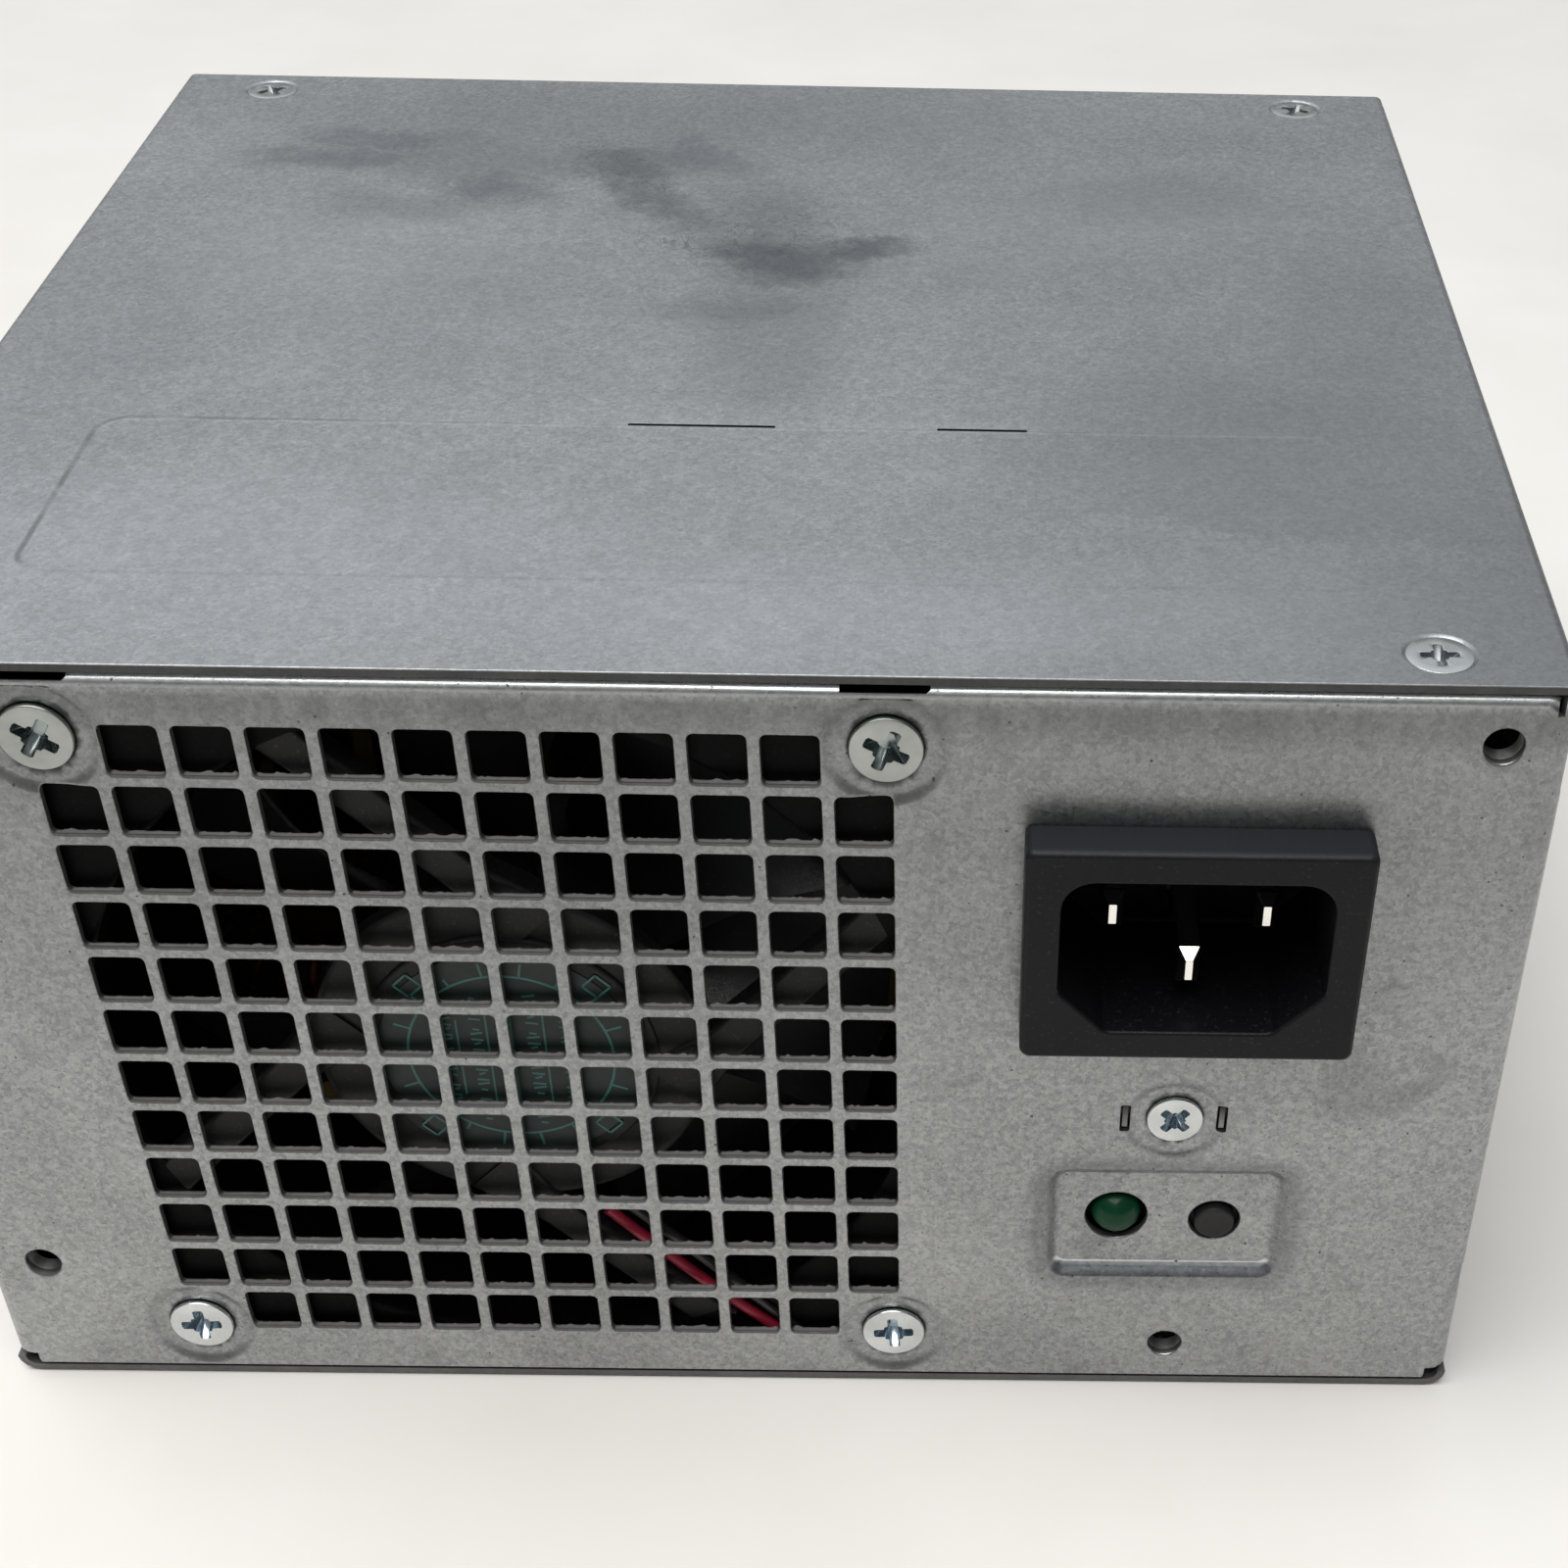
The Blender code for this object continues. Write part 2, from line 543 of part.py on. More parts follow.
# name, material, tail's x, first points (x, y, z)
FAN_LEADS = (
    ("fan_wire_red", RED, 8.4,
     ((-11.8, 3.2, 21.9), (-8.0, 2.9, 18.1), (-1.5, 2.6, 11.7), (5.0, 2.2, 5.2),
      (8.0, 2.6, 1.75))),
    ("fan_wire_black", BLACK, 10.4,
     ((-10.3, 3.2, 22.9), (-6.7, 2.9, 19.4), (-0.3, 2.6, 12.9), (6.1, 2.2, 6.3),
      (10.3, 2.6, 1.75))),
)
# y, z
FAN_LEAD_TAIL = ((12, 1.7), (25, 1.7), (28.6, 3.0), (29.4, 9.0), (31.2, 12.4), (33.5, 12.6))


def strut_tool(k):
    """Strut that runs past the hub's middle, to one side of it."""
    angle = math.radians(45) + math.radians(90 * k)
    out = Vector((-math.sin(angle), 0, math.cos(angle)))
    side = Vector((out.z, 0, -out.x))
    middle = side * STRUT_OFFSET + out * STRUT_MIDDLE
    strut = put(f"strut_{k}", box_mesh(STRUT_SIZE), None,
                at(FAN_X + middle.x, FAN_FACE + 0.2 + STRUT_SIZE[1] / 2, FAN_Z + middle.z))
    strut.rotation_euler = (0, -angle, 0)
    return strut


def build_fan_frame():
    frame = rounded("fan_frame", span(FAN_X, FAN_SIZE / 2), (FAN_FACE, FAN_END),
                    span(FAN_Z, FAN_SIZE / 2),
                    lambda middle, direction: abs(direction.y) > 0.9, FAN_CORNER_R, 2, FAN)
    cut(frame, rod("fan_bore", "y", FAN_AXIS, *FAN_THROUGH, FAN_BORE, sides=32),
        *rods("fan_corner_hole", "y", FAN_CORNERS, *FAN_THROUGH, FAN_HOLE_R))
    join(frame, *(strut_tool(k) for k in range(4)),
         rod("hub_plate", "y", FAN_AXIS, *HUB_PLATE, sides=32),
         rod("bearing_tube", "y", FAN_AXIS, *BEARING_TUBE, sides=16))
    notch = put("lead_notch", box_mesh(LEAD_NOTCH_SIZE), None, at(*LEAD_NOTCH_MIDDLE))
    notch.rotation_euler = (0, math.radians(-45), 0)
    cut(frame, rod("bearing_bore", "y", FAN_AXIS, *BEARING_BORE, sides=16), notch)


def build_fan_motor():
    """Sleeve bearing, with a small gap to its tube, stator and shaft."""
    bearing = rod("fan_bearing", "y", FAN_AXIS, *BEARING, mat=BRASS, sides=16)
    cut(bearing, rod("bearing_hole", "y", FAN_AXIS, *BEARING_HOLE, sides=16))
    stator = rod("fan_stator", "y", FAN_AXIS, *STATOR, mat=COPPER, sides=16)
    cut(stator, rod("stator_hole", "y", FAN_AXIS, *STATOR_HOLE, sides=16))
    rod("fan_shaft", "y", FAN_AXIS, SHAFT_START, SHAFT_END - SHAFT_START, SHAFT_R,
        mat=ZINC, sides=16)


def blade_tool(k):
    bm = box_mesh((BLADE_TIP - BLADE_ROOT, BLADE_CHORD, BLADE_THICK))
    for vert in bm.verts:                      # blades widen towards the tip
        if vert.co.x < 0:
            vert.co.y *= BLADE_TAPER
    angle = 2 * math.pi * k / BLADES + math.radians(BLADE_TURN)
    pitch = Matrix.Rotation(math.radians(90 - BLADE_PITCH), 4, "X")
    outward = Matrix.Translation(((BLADE_ROOT + BLADE_TIP) / 2 * MM, 0, 0))
    bmesh.ops.transform(bm, verts=bm.verts,
                        matrix=Matrix.Rotation(angle, 4, "Y") @ outward @ pitch)
    return put(f"blade_{k}", bm, None, at(FAN_X, CUP_START + CUP_DEPTH / 2 + 0.4, FAN_Z))


def build_fan_rotor():
    """Cup, open to the rear, with pitched blades."""
    cup = rod("fan_rotor", "y", FAN_AXIS, CUP_START, CUP_DEPTH, CUP_R, mat=FAN, sides=28)
    join(cup, *(blade_tool(k) for k in range(BLADES)))
    cut(cup, rod("cup_hollow", "y", FAN_AXIS, CUP_START - OVER, CUP_DEPTH + OVER - CUP_FLOOR,
                 CUP_R - CUP_WALL, sides=28))


def build_fan():
    build_fan_frame()
    build_fan_motor()
    build_fan_rotor()
    for i, (x, z) in enumerate(FAN_CORNERS):
        screw(f"fan_screw_{i + 1}", (x, 0.25, z), "rear", FAN_SCREW)
    for name, mat, tail_x, head in FAN_LEADS:
        tail = [(tail_x, y, z) for y, z in FAN_LEAD_TAIL]
        wire(name, [*head, *tail], FAN_LEAD_R, mat, per=2, roundness=1)


# ---------------------------------------------------------------- mains inlet
INLET_W, INLET_H, INLET_PROUD = 30.5, 23.0, 4.3
INLET_BODY_END = 15.0
SOCKET_W, SOCKET_H, SOCKET_FLOOR = 24.0, 16.5, 12.5
SOCKET_CORNER_R = 3
SOCKET_FOOT, SOCKET_CHAMFER_Z = 7.5, -3.75     # ends of the cut-off lower corners
PIN_W, PIN_H, PIN_END, PIN_GAP = 2.0, 4.0, 21.5, 0.3
# name, x, z, y of the tip
PINS = (("live_pin", INLET_X - 7.0, INLET_Z, 2.5),
        ("neutral_pin", INLET_X + 7.0, INLET_Z, 2.5),
        ("earth_pin", INLET_X, INLET_Z - 4.0, -0.5))
MAINS_WIRE_R = 1.1
# name, material, points (x from the inlet's middle, y, z)
MAINS_WIRES = (
    ("live_wire", BROWN, ((-7, 21.9, 60), (-7, 24.5, 59.0), (-6.0, 28, 48), (-4, 31, 26),
                          (-3.4, 34.5, DECK))),
    ("neutral_wire", BLUE, ((7, 21.9, 60), (7, 24.5, 59.0), (6.4, 28, 48), (5, 31, 26),
                            (4.6, 34.5, DECK))),
    ("earth_wire", EARTH, ((0, 21.9, 56), (0, 24.5, 55.0), (0.3, 27, 44), (0.5, 30, 24),
                           (0.6, 34.5, DECK))),
)


def socket_outline():
    """Opening with cut-off lower and rounded upper corners, symmetric in x."""
    points = [(-SOCKET_FOOT, -SOCKET_H / 2), (SOCKET_FOOT, -SOCKET_H / 2),
              (SOCKET_W / 2, SOCKET_CHAMFER_Z)]
    for k in range(4):
        angle = math.radians(30 * k)
        points.append((SOCKET_W / 2 - SOCKET_CORNER_R + SOCKET_CORNER_R * math.cos(angle),
                       SOCKET_H / 2 - SOCKET_CORNER_R + SOCKET_CORNER_R * math.sin(angle)))
    return points + [(-x, z) for x, z in reversed(points[2:])]


def build_inlet():
    inlet = rounded("inlet_housing", span(INLET_X, INLET_W / 2), (-INLET_PROUD, -0.2),
                    span(INLET_Z, INLET_H / 2),
                    lambda middle, direction: abs(direction.y) > 0.9 or middle.y < 0,
                    0.8, 1, BLACK)
    join(inlet, block("inlet_body", span(INLET_X, INLET_BODY_HALF[0]),
                      (-1, INLET_BODY_END), span(INLET_Z, INLET_BODY_HALF[1])))
    depth = SOCKET_FLOOR + INLET_PROUD + OVER
    cut(inlet, outline("socket", socket_outline(), depth, "y",
                       (INLET_X, SOCKET_FLOOR - depth / 2, INLET_Z)))
    for name, x, z, tip in PINS:
        cut(inlet, block(name + "_slot", span(x, PIN_W / 2 + PIN_GAP),
                         (SOCKET_FLOOR - 2, INLET_BODY_END + 2),
                         span(z, PIN_H / 2 + PIN_GAP)))
        rounded(name, span(x, PIN_W / 2), (tip, PIN_END), span(z, PIN_H / 2),
                lambda middle, direction: middle.y < 0 and abs(direction.y) < 0.1,
                0.6, 1, BRASS)
    for name, mat, points in MAINS_WIRES:
        wire(name, [(INLET_X + x, y, z) for x, y, z in points], MAINS_WIRE_R, mat,
             per=3, roundness=1)


# ----------------------------------------------- status light and test button
BRACKET_X = (36, 52)
TAB_HALF = (0.25, 1.3)                         # half width, half height
LED_R, LED_COLLAR_R, LED_LENGTH, LED_COLLAR_Z = 2.5, 2.9, 8.0, -6.6
BUTTON_R, BUTTON_FACE, BUTTON_LENGTH = 2.0, 0.7, 3.4
BUTTON_TRAVEL = 0.5
# radius, height
BUTTON_PROFILE = ((0, 0), (BUTTON_R - 0.3, 0), (BUTTON_R, -0.3), (BUTTON_R, -1.9),
                  (2.8, -1.9), (2.8, -2.9), (1.2, -2.9), (1.2, -BUTTON_LENGTH),
                  (0, -BUTTON_LENGTH))


def build_status_bracket():
    bracket = block("status_bracket", BRACKET_X, (1.6, 2.4), (34, 41), STEEL)
    join(bracket,
         block("bracket_shelf", BRACKET_X, (1.6, 11.1), (33.6, 34.4)),
         block("bracket_back", BRACKET_X, (10.3, 11.1), (16, 34.4)))
    for i, x in enumerate(BRACKET_TAB_XS):
        join(bracket, block(f"bracket_tab_{i}", span(x, TAB_HALF[0]), (0.3, 2.2),
                            span(BRACKET_TAB_Z, TAB_HALF[1])))
    cut(bracket, rod("bracket_thread", "y", BRACKET_SCREW_AXIS, 0, 5, 1.75))
    x, z = BRACKET_SCREW_AXIS
    screw("bracket_screw", (x, 0.15, z), "rear", BRACKET_SCREW)


def build_led():
    """Domed lens with a collar at its inner end."""
    profile = [(0, 0)]
    for k in range(1, 5):
        angle = math.radians(90 - 22.5 * k)
        profile.append((LED_R * math.cos(angle), LED_R * math.sin(angle) - LED_R))
    profile += [(LED_R, LED_COLLAR_Z), (LED_COLLAR_R, LED_COLLAR_Z),
                (LED_COLLAR_R, -LED_LENGTH), (0, -LED_LENGTH)]
    turned("led_lens", profile, GREEN, (LED_X, 0.1, LED_Z), "rear", 12)


def build_status_panel():
    build_status_bracket()
    block("status_board", (35, 54), (8.4, 10.0), (16.5, 33.2), BOARD)
    build_led()
    turned("test_button", BUTTON_PROFILE, GREY, (BUTTON_X, BUTTON_FACE, BUTTON_Z), "rear", 12)
    switch_start = BUTTON_FACE + BUTTON_LENGTH + BUTTON_TRAVEL + 0.3
    block("test_switch", span(BUTTON_X, 3), (switch_start, 8.1), span(BUTTON_Z, 3), EPOXY)


# ----------------------------------------------------------------- main board
# name, x span, y span, z span above the deck, material
BOARD_BLOCKS = (
    ("x_capacitor", (28, 46.5), (40, 62), (0, 17), YELLOW),
    ("bridge_rectifier", (44, 62), (74, 78.4), (0, 19), EPOXY),
    ("switch_transistor", (19.4, 24.1), (90, 105.6), (6, 26), EPOXY),
    ("rectifier_diode", (-27.1, -22.6), (86, 101.6), (6, 26), EPOXY),
    ("transformer_winding", (-13, 12), (80, 118), (3.5, 28), YELLOW),
    ("standby_transformer", (-2, 16), (48, 66), (0, 19), YELLOW),
)
FINS, FIN_PITCH, FIN_THICK, FIN_LENGTH = 6, 9.6, 1.6, 7.0
SINK_Y, FIN_START = 95, -24.0                  # origin; first fin measured from it
SINK_PLATE, SINK_HEIGHT = 3.0, 56.0
# name, x of the plate's finned face, side of the plate (the fins point the other way)
HEATSINKS = (("primary_heatsink", 27.5, -1), ("secondary_heatsink", -30.5, 1))


def above_deck(limits):
    return (DECK + limits[0], DECK + limits[1])


def build_main_board():
    film = block("insulator_sheet", (-70, 70), (30, 135), (1.1, 1.4), CLEAR)
    board = block("main_board", (-71, 71), (31.5, 134), (BOARD_Z, BOARD_Z + BOARD_T), BOARD)
    cut(film, *rods("film_hole", "z", BOSSES, 0, 3, 6.4))
    cut(board, *rods("board_hole", "z", BOSSES, BOARD_Z - OVER, 4, 1.8))
    for i, (x, y) in enumerate(BOSSES):
        screw(f"board_screw_{i + 1}", (x, y, DECK + 1.3), "up", BOARD_SCREW, recess=False)


def build_heatsinks():
    comb = []
    for k in range(FINS):                      # cooling fins along the plate
        y = FIN_START + k * FIN_PITCH
        comb += [(0, y), (-FIN_LENGTH, y), (-FIN_LENGTH, y + FIN_THICK), (0, y + FIN_THICK)]
    end = FIN_START + (FINS - 1) * FIN_PITCH + FIN_THICK
    points = [(SINK_PLATE, FIN_START), (SINK_PLATE, end), *reversed(comb)]
    for name, sink_x, side in HEATSINKS:
        outline(name, [(side * x, y) for x, y in points], SINK_HEIGHT, "z",
                (sink_x, SINK_Y, DECK + 0.2 + SINK_HEIGHT / 2), ALU)


def build_components():
    for name, x_span, y_span, z_span, mat in BOARD_BLOCKS:
        block(name, x_span, y_span, above_deck(z_span), mat)
    core = block("transformer_core", (-16.5, 15.5), (86, 112), above_deck((0, 31.5)), FERRITE)
    cut(core, block("core_window", (-13.3, 12.3), (80, 120), above_deck((3.2, 28.3))))
    ring("emi_choke", (59, 54, DECK + 5.2), major=8.0, minor=4.2, mat=COPPER)
    ring("output_choke", (-52, 60, DECK + 6.6), major=11.0, minor=5.6, mat=COPPER)
    rod("fuse", "y", (70, DECK + 3.5), start=62, length=20.0, radius=2.6, mat=CLEAR)
    bulk = rod("bulk_capacitor", "z", (53.5, 101), start=DECK, length=48.0, radius=15.0,
               mat=SLEEVE, sides=24)
    bulk.data.shade_smooth()
    bulk.data.set_sharp_from_angle(angle=math.radians(40))
    for i, place in enumerate(((-46, 86), (-59, 86))):
        rod(f"output_capacitor_{i + 1}", "z", place, start=DECK, length=24.0, radius=5.2,
            mat=SLEEVE, sides=14)


# -------------------------------------------------------------- output cables
# radius, height; a closed ring with a groove for the panel's edge
GROMMET_PROFILE = ((10.4, 3.2), (14.6, 3.2), (15.2, 1.0), (12.6, 1.0), (12.6, -1.1),
                   (15.2, -1.1), (14.6, -3.2), (10.4, -3.2), (10.4, 3.2))

# Each bundle leaves the board, passes the grommet and lies on the floor.
# name, radius, points (x, y, z)
CABLES = (
    ("main_cable", 4.4,
     ((-42, 118, DECK + 5), (-46, 126, 20), (CABLE_X, 134, CABLE_Z - 4.6),
      (CABLE_X, 146, CABLE_Z - 5.6), (CABLE_X + 2, 156, 16), (CABLE_X + 9, 166, 6.2),
      (-22, 176, 4.8), (0, 180, 4.8), (22, 180, 4.8), (38, 180, 5.2))),
    ("cpu_cable", 3.1,
     ((-56, 116, DECK + 4), (-56, 126, 26), (CABLE_X - 4.6, 134, CABLE_Z + 3.9),
      (CABLE_X - 4.6, 148, CABLE_Z + 3.6), (CABLE_X - 7.5, 159, 25), (CABLE_X - 12, 169, 9),
      (-63, 182, 3.6), (-64, 194, 3.6), (-64, 206, 5.2))),
    ("sata_cable", 2.5,
     ((-50, 110, DECK + 14), (-49, 122, 36), (CABLE_X + 2.3, 134, CABLE_Z + 3.6),
      (CABLE_X + 2.3, 148, CABLE_Z + 3.2), (CABLE_X + 1, 160, 25), (CABLE_X + 1, 172, 12),
      (-44, 184, 3.2), (-36, 194, 2.9), (-22, 198, 2.9), (-8, 198, 3.6))),
)

CELL_PITCH, CELL_SIZE = 4.2, 3.0
CELL_CUT = 12                                  # cutter length, half of it in the housing
# name, x span, y span, z span, mating axis, columns, rows
CONNECTORS = (
    ("main_connector", (38.4, 53.4), (154.2, 205.8), (0.3, 10.1), "x", 12, 2),
    ("cpu_connector", (-73.0, -55.0), (206.9, 221.9), (0.3, 10.1), "y", 4, 2),
    ("sata_connector", (-7.6, 5.4), (187.0, 209.0), (0.3, 7.0), "x", 1, 1),
)


def connector(name, x_span, y_span, z_span, facing, columns, rows):
    """Multi-way housing with its cells open at the mating face (+X or +Y)."""
    body = block(name, x_span, y_span, z_span, BLACK)
    cells = []
    for i in range(columns):
        for j in range(rows):
            across = (i - (columns - 1) / 2) * CELL_PITCH
            z = sum(z_span) / 2 + (j - (rows - 1) / 2) * CELL_PITCH
            if facing == "x":
                cells.append(((x_span[1], sum(y_span) / 2 + across, z),
                              (CELL_CUT, CELL_SIZE, CELL_SIZE)))
            else:
                cells.append(((sum(x_span) / 2 + across, y_span[1], z),
                              (CELL_SIZE, CELL_CUT, CELL_SIZE)))
    cut(body, box_tool(name + "_cells", cells))


def build_cables():
    turned("cable_grommet", GROMMET_PROFILE, BLACK, (CABLE_X, DEPTH - SHEET / 2, CABLE_Z),
           "front", 16)
    for name, radius, points in CABLES:
        wire(name, points, radius, BRAID, per=2, roundness=2)
    for row in CONNECTORS:
        connector(*row)


build_tray()
build_top_cover()
build_fan()
build_inlet()
build_status_panel()
build_main_board()
build_heatsinks()
build_components()
build_cables()
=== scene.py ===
"""Looks of the power supply unit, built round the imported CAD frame.

Working units are millimetres: x from the middle, d = depth behind the rear
panel's face, z up.  P() turns them into metres in the frame.
"""
import json
import math

import bmesh
import bpy
import numpy as np
from mathutils import Matrix, Vector
from mathutils.geometry import delaunay_2d_cdt


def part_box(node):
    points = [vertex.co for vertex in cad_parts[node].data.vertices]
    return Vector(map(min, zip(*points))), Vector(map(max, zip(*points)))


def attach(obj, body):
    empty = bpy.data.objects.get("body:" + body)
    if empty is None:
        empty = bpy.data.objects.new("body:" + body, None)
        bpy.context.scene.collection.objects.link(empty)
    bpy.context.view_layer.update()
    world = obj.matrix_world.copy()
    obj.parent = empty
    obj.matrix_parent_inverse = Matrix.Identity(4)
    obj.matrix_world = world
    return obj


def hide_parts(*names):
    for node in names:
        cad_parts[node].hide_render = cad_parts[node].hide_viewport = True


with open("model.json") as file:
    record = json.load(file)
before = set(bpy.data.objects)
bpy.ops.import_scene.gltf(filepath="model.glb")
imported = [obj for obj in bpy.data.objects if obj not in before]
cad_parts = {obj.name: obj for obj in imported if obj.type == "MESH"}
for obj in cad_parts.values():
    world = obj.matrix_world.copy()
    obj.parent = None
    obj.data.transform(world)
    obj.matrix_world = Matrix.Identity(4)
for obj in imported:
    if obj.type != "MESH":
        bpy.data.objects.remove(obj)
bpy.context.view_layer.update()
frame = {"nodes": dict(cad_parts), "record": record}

MM = 0.001
TRAY_LO, TRAY_HI = (v * 1000 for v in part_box("chassis_tray"))
REAR = TRAY_LO.y                      # y of the rear panel's face, mm
DEPTH = TRAY_HI.y - TRAY_LO.y
HALF = TRAY_HI.x                      # half width, mm
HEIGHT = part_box("top_cover")[1].z * 1000
WALL_TOP = TRAY_HI.z
SHEET = 0.8


def nbox(node):
    """Box of a node as (x0, d0, z0), (x1, d1, z1) in mm."""
    lo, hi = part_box(node)
    return (lo.x * 1000, lo.y * 1000 - REAR, lo.z * 1000), (hi.x * 1000, hi.y * 1000 - REAR, hi.z * 1000)


def ncentre(node):
    lo, hi = nbox(node)
    return tuple((a + b) / 2 for a, b in zip(lo, hi))


def P(x, d, z):
    return Vector((x, d + REAR, z)) * MM


# ---------------------------------------------------------------- node materials
def new_material(name):
    m = bpy.data.materials.new(name)
    m.use_nodes = True
    nt = m.node_tree
    bsdf = nt.nodes["Principled BSDF"]
    return m, nt, bsdf


def nd(nt, kind, **inputs):
    n = nt.nodes.new(kind)
    for k, v in inputs.items():
        if k.startswith("_"):
            setattr(n, k[1:], v)
        else:
            key = int(k[1:]) if k[0] == "i" and k[1:].isdigit() else k.replace("__", " ")
            sock = n.inputs[key]
            if hasattr(v, "is_linked") or isinstance(v, bpy.types.NodeSocket):
                nt.links.new(v, sock)
            else:
                sock.default_value = v
    return n


def coords(nt, scale=1.0, stretch=(1, 1, 1)):
    tc = nt.nodes.new("ShaderNodeTexCoord")
    mp = nt.nodes.new("ShaderNodeMapping")
    nt.links.new(tc.outputs["Object"], mp.inputs["Vector"])
    mp.inputs["Scale"].default_value = tuple(scale * s for s in stretch)
    return mp.outputs["Vector"]


def noise(nt, vec, scale, detail=2.0, rough=0.5, dist=0.0):
    n = nd(nt, "ShaderNodeTexNoise", Vector=vec, Scale=scale, Detail=detail, Roughness=rough, Distortion=dist)
    return n.outputs["Fac"]


def maprange(nt, value, a, b, c, d, smooth=False):
    n = nd(nt, "ShaderNodeMapRange", Value=value)
    n.interpolation_type = "SMOOTHSTEP" if smooth else "LINEAR"
    n.inputs["From Min"].default_value, n.inputs["From Max"].default_value = a, b
    n.inputs["To Min"].default_value, n.inputs["To Max"].default_value = c, d
    return n.outputs["Result"]


def math_node(nt, op, a, b=None, clamp=False):
    n = nt.nodes.new("ShaderNodeMath")
    n.operation = op
    n.use_clamp = clamp
    for i, v in enumerate((a, b)):
        if v is None:
            continue
        if isinstance(v, bpy.types.NodeSocket):
            nt.links.new(v, n.inputs[i])
        else:
            n.inputs[i].default_value = v
    return n.outputs[0]


def mix(nt, fac, a, b, kind="MIX"):
    n = nt.nodes.new("ShaderNodeMix")
    n.data_type = "RGBA"
    n.blend_type = kind
    n.clamp_factor = True
    for sock, v in ((n.inputs["Factor"], fac), (n.inputs["A"], a), (n.inputs["B"], b)):
        if isinstance(v, bpy.types.NodeSocket):
            nt.links.new(v, sock)
        elif isinstance(v, (int, float)):
            sock.default_value = v
        else:
            sock.default_value = (*v, 1.0) if len(v) == 3 else v
    # the RGBA sockets of the Mix node sit under their own identifiers
    for ident, v in (("A_Color", a), ("B_Color", b)):
        for s in n.inputs:
            if s.identifier == ident:
                if isinstance(v, bpy.types.NodeSocket):
                    nt.links.new(v, s)
                else:
                    s.default_value = (*v, 1.0) if len(v) == 3 else v
    for s in n.inputs:
        if s.identifier == "Factor_Float":
            if isinstance(fac, bpy.types.NodeSocket):
                nt.links.new(fac, s)
            else:
                s.default_value = fac
    return [o for o in n.outputs if o.identifier == "Result_Color"][0]


def bump(nt, bsdf, height, strength, distance):
    b = nd(nt, "ShaderNodeBump", Height=height, Strength=strength, Distance=distance)
    nt.links.new(b.outputs["Normal"], bsdf.inputs["Normal"])
    return b


def blob(nt, vec, x, d, rx, rd, angle=0.0, z=None):
    """Soft elliptical spot (1 in the middle, 0 outside) on a face, centre and radii in mm."""
    s = nd(nt, "ShaderNodeMapping", Vector=vec)
    s.vector_type = "TEXTURE"
    s.inputs["Location"].default_value = (x * MM, (d + REAR) * MM, (z if z is not None else 0) * MM)
    s.inputs["Rotation"].default_value = (0, 0, math.radians(angle))
    s.inputs["Scale"].default_value = (rx * MM, rd * MM, 1000.0)
    ln = nt.nodes.new("ShaderNodeVectorMath")
    ln.operation = "LENGTH"
    nt.links.new(s.outputs["Vector"], ln.inputs[0])
    return maprange(nt, ln.outputs["Value"], 0.15, 1.0, 1.0, 0.0, True)


def galvanised(name, light, dark, rough=(0.36, 0.52), spangle=2500.0, metallic=0.85, stains=None,
               flake=0.26, sheared=False):
    """Hot-dip galvanised sheet: small crystal spangle, fine grain, cloudy oxide."""
    m, nt, bsdf = new_material(name)
    vec = coords(nt)
    cell = nd(nt, "ShaderNodeTexVoronoi", Vector=vec, Scale=spangle, Randomness=1.0)
    sep = nd(nt, "ShaderNodeSeparateColor", Color=cell.outputs["Color"])
    fine = noise(nt, vec, 4200.0, 1.0, 0.6)
    mid = noise(nt, vec, 1100.0, 2.0, 0.6, 0.3)
    cloud = noise(nt, vec, 38.0, 3.0, 0.55, 0.8)
    tone = math_node(nt, "MULTIPLY", sep.outputs[0], 0.26)
    tone = math_node(nt, "ADD", tone, math_node(nt, "MULTIPLY", fine, 0.46))
    tone = math_node(nt, "ADD", tone, math_node(nt, "MULTIPLY", mid, flake))
    tone = math_node(nt, "ADD", tone, math_node(nt, "MULTIPLY", cloud, 0.42))
    half = (flake - 0.26) / 2
    fac = maprange(nt, tone, 0.42 + half, 0.98 + half, 0.0, 1.0)
    col = mix(nt, fac, dark, light)
    if stains:
        col = stains(nt, vec, col)
    dust_and_painted_shade = None
    if sheared:
        # sheared lower lips of the grille holes hold dust; their upward faces are also darkened, painted shade that
        # dims their highlight, and roughened
        geo = nt.nodes.new("ShaderNodeNewGeometry")
        up = nt.nodes.new("ShaderNodeSeparateXYZ")
        nt.links.new(geo.outputs["Normal"], up.inputs[0])
        at = nt.nodes.new("ShaderNodeSeparateXYZ")
        nt.links.new(vec, at.inputs[0])
        dust_and_painted_shade = maprange(nt, up.outputs["Z"], 0.15, 0.50, 0.0, 1.0)
        dust_and_painted_shade = math_node(nt, "MULTIPLY", dust_and_painted_shade, maprange(nt, at.outputs["X"], 0.0280, 0.0286, 1.0, 0.0))
        dust_and_painted_shade = math_node(nt, "MULTIPLY", dust_and_painted_shade, maprange(nt, at.outputs["Z"], 0.0815, 0.0825, 1.0, 0.0))
        col = mix(nt, math_node(nt, "MULTIPLY", dust_and_painted_shade, 0.85), col, (0.10, 0.10, 0.097))
    nt.links.new(col, bsdf.inputs["Base Color"])
    bsdf.inputs["Metallic"].default_value = metallic
    r = math_node(nt, "ADD", math_node(nt, "MULTIPLY", sep.outputs[1], 0.5),
                  math_node(nt, "MULTIPLY", mid, 0.5))
    r = maprange(nt, r, 0.2, 0.8, rough[0], rough[1])
    if dust_and_painted_shade is not None:
        r = math_node(nt, "ADD", r, math_node(nt, "MULTIPLY", dust_and_painted_shade, 0.42))
    nt.links.new(r, bsdf.inputs["Roughness"])
    h = math_node(nt, "ADD", math_node(nt, "MULTIPLY", sep.outputs[2], 0.5), math_node(nt, "MULTIPLY", fine, 0.5))
    bump(nt, bsdf, h, 0.22, 0.00006)
    return m


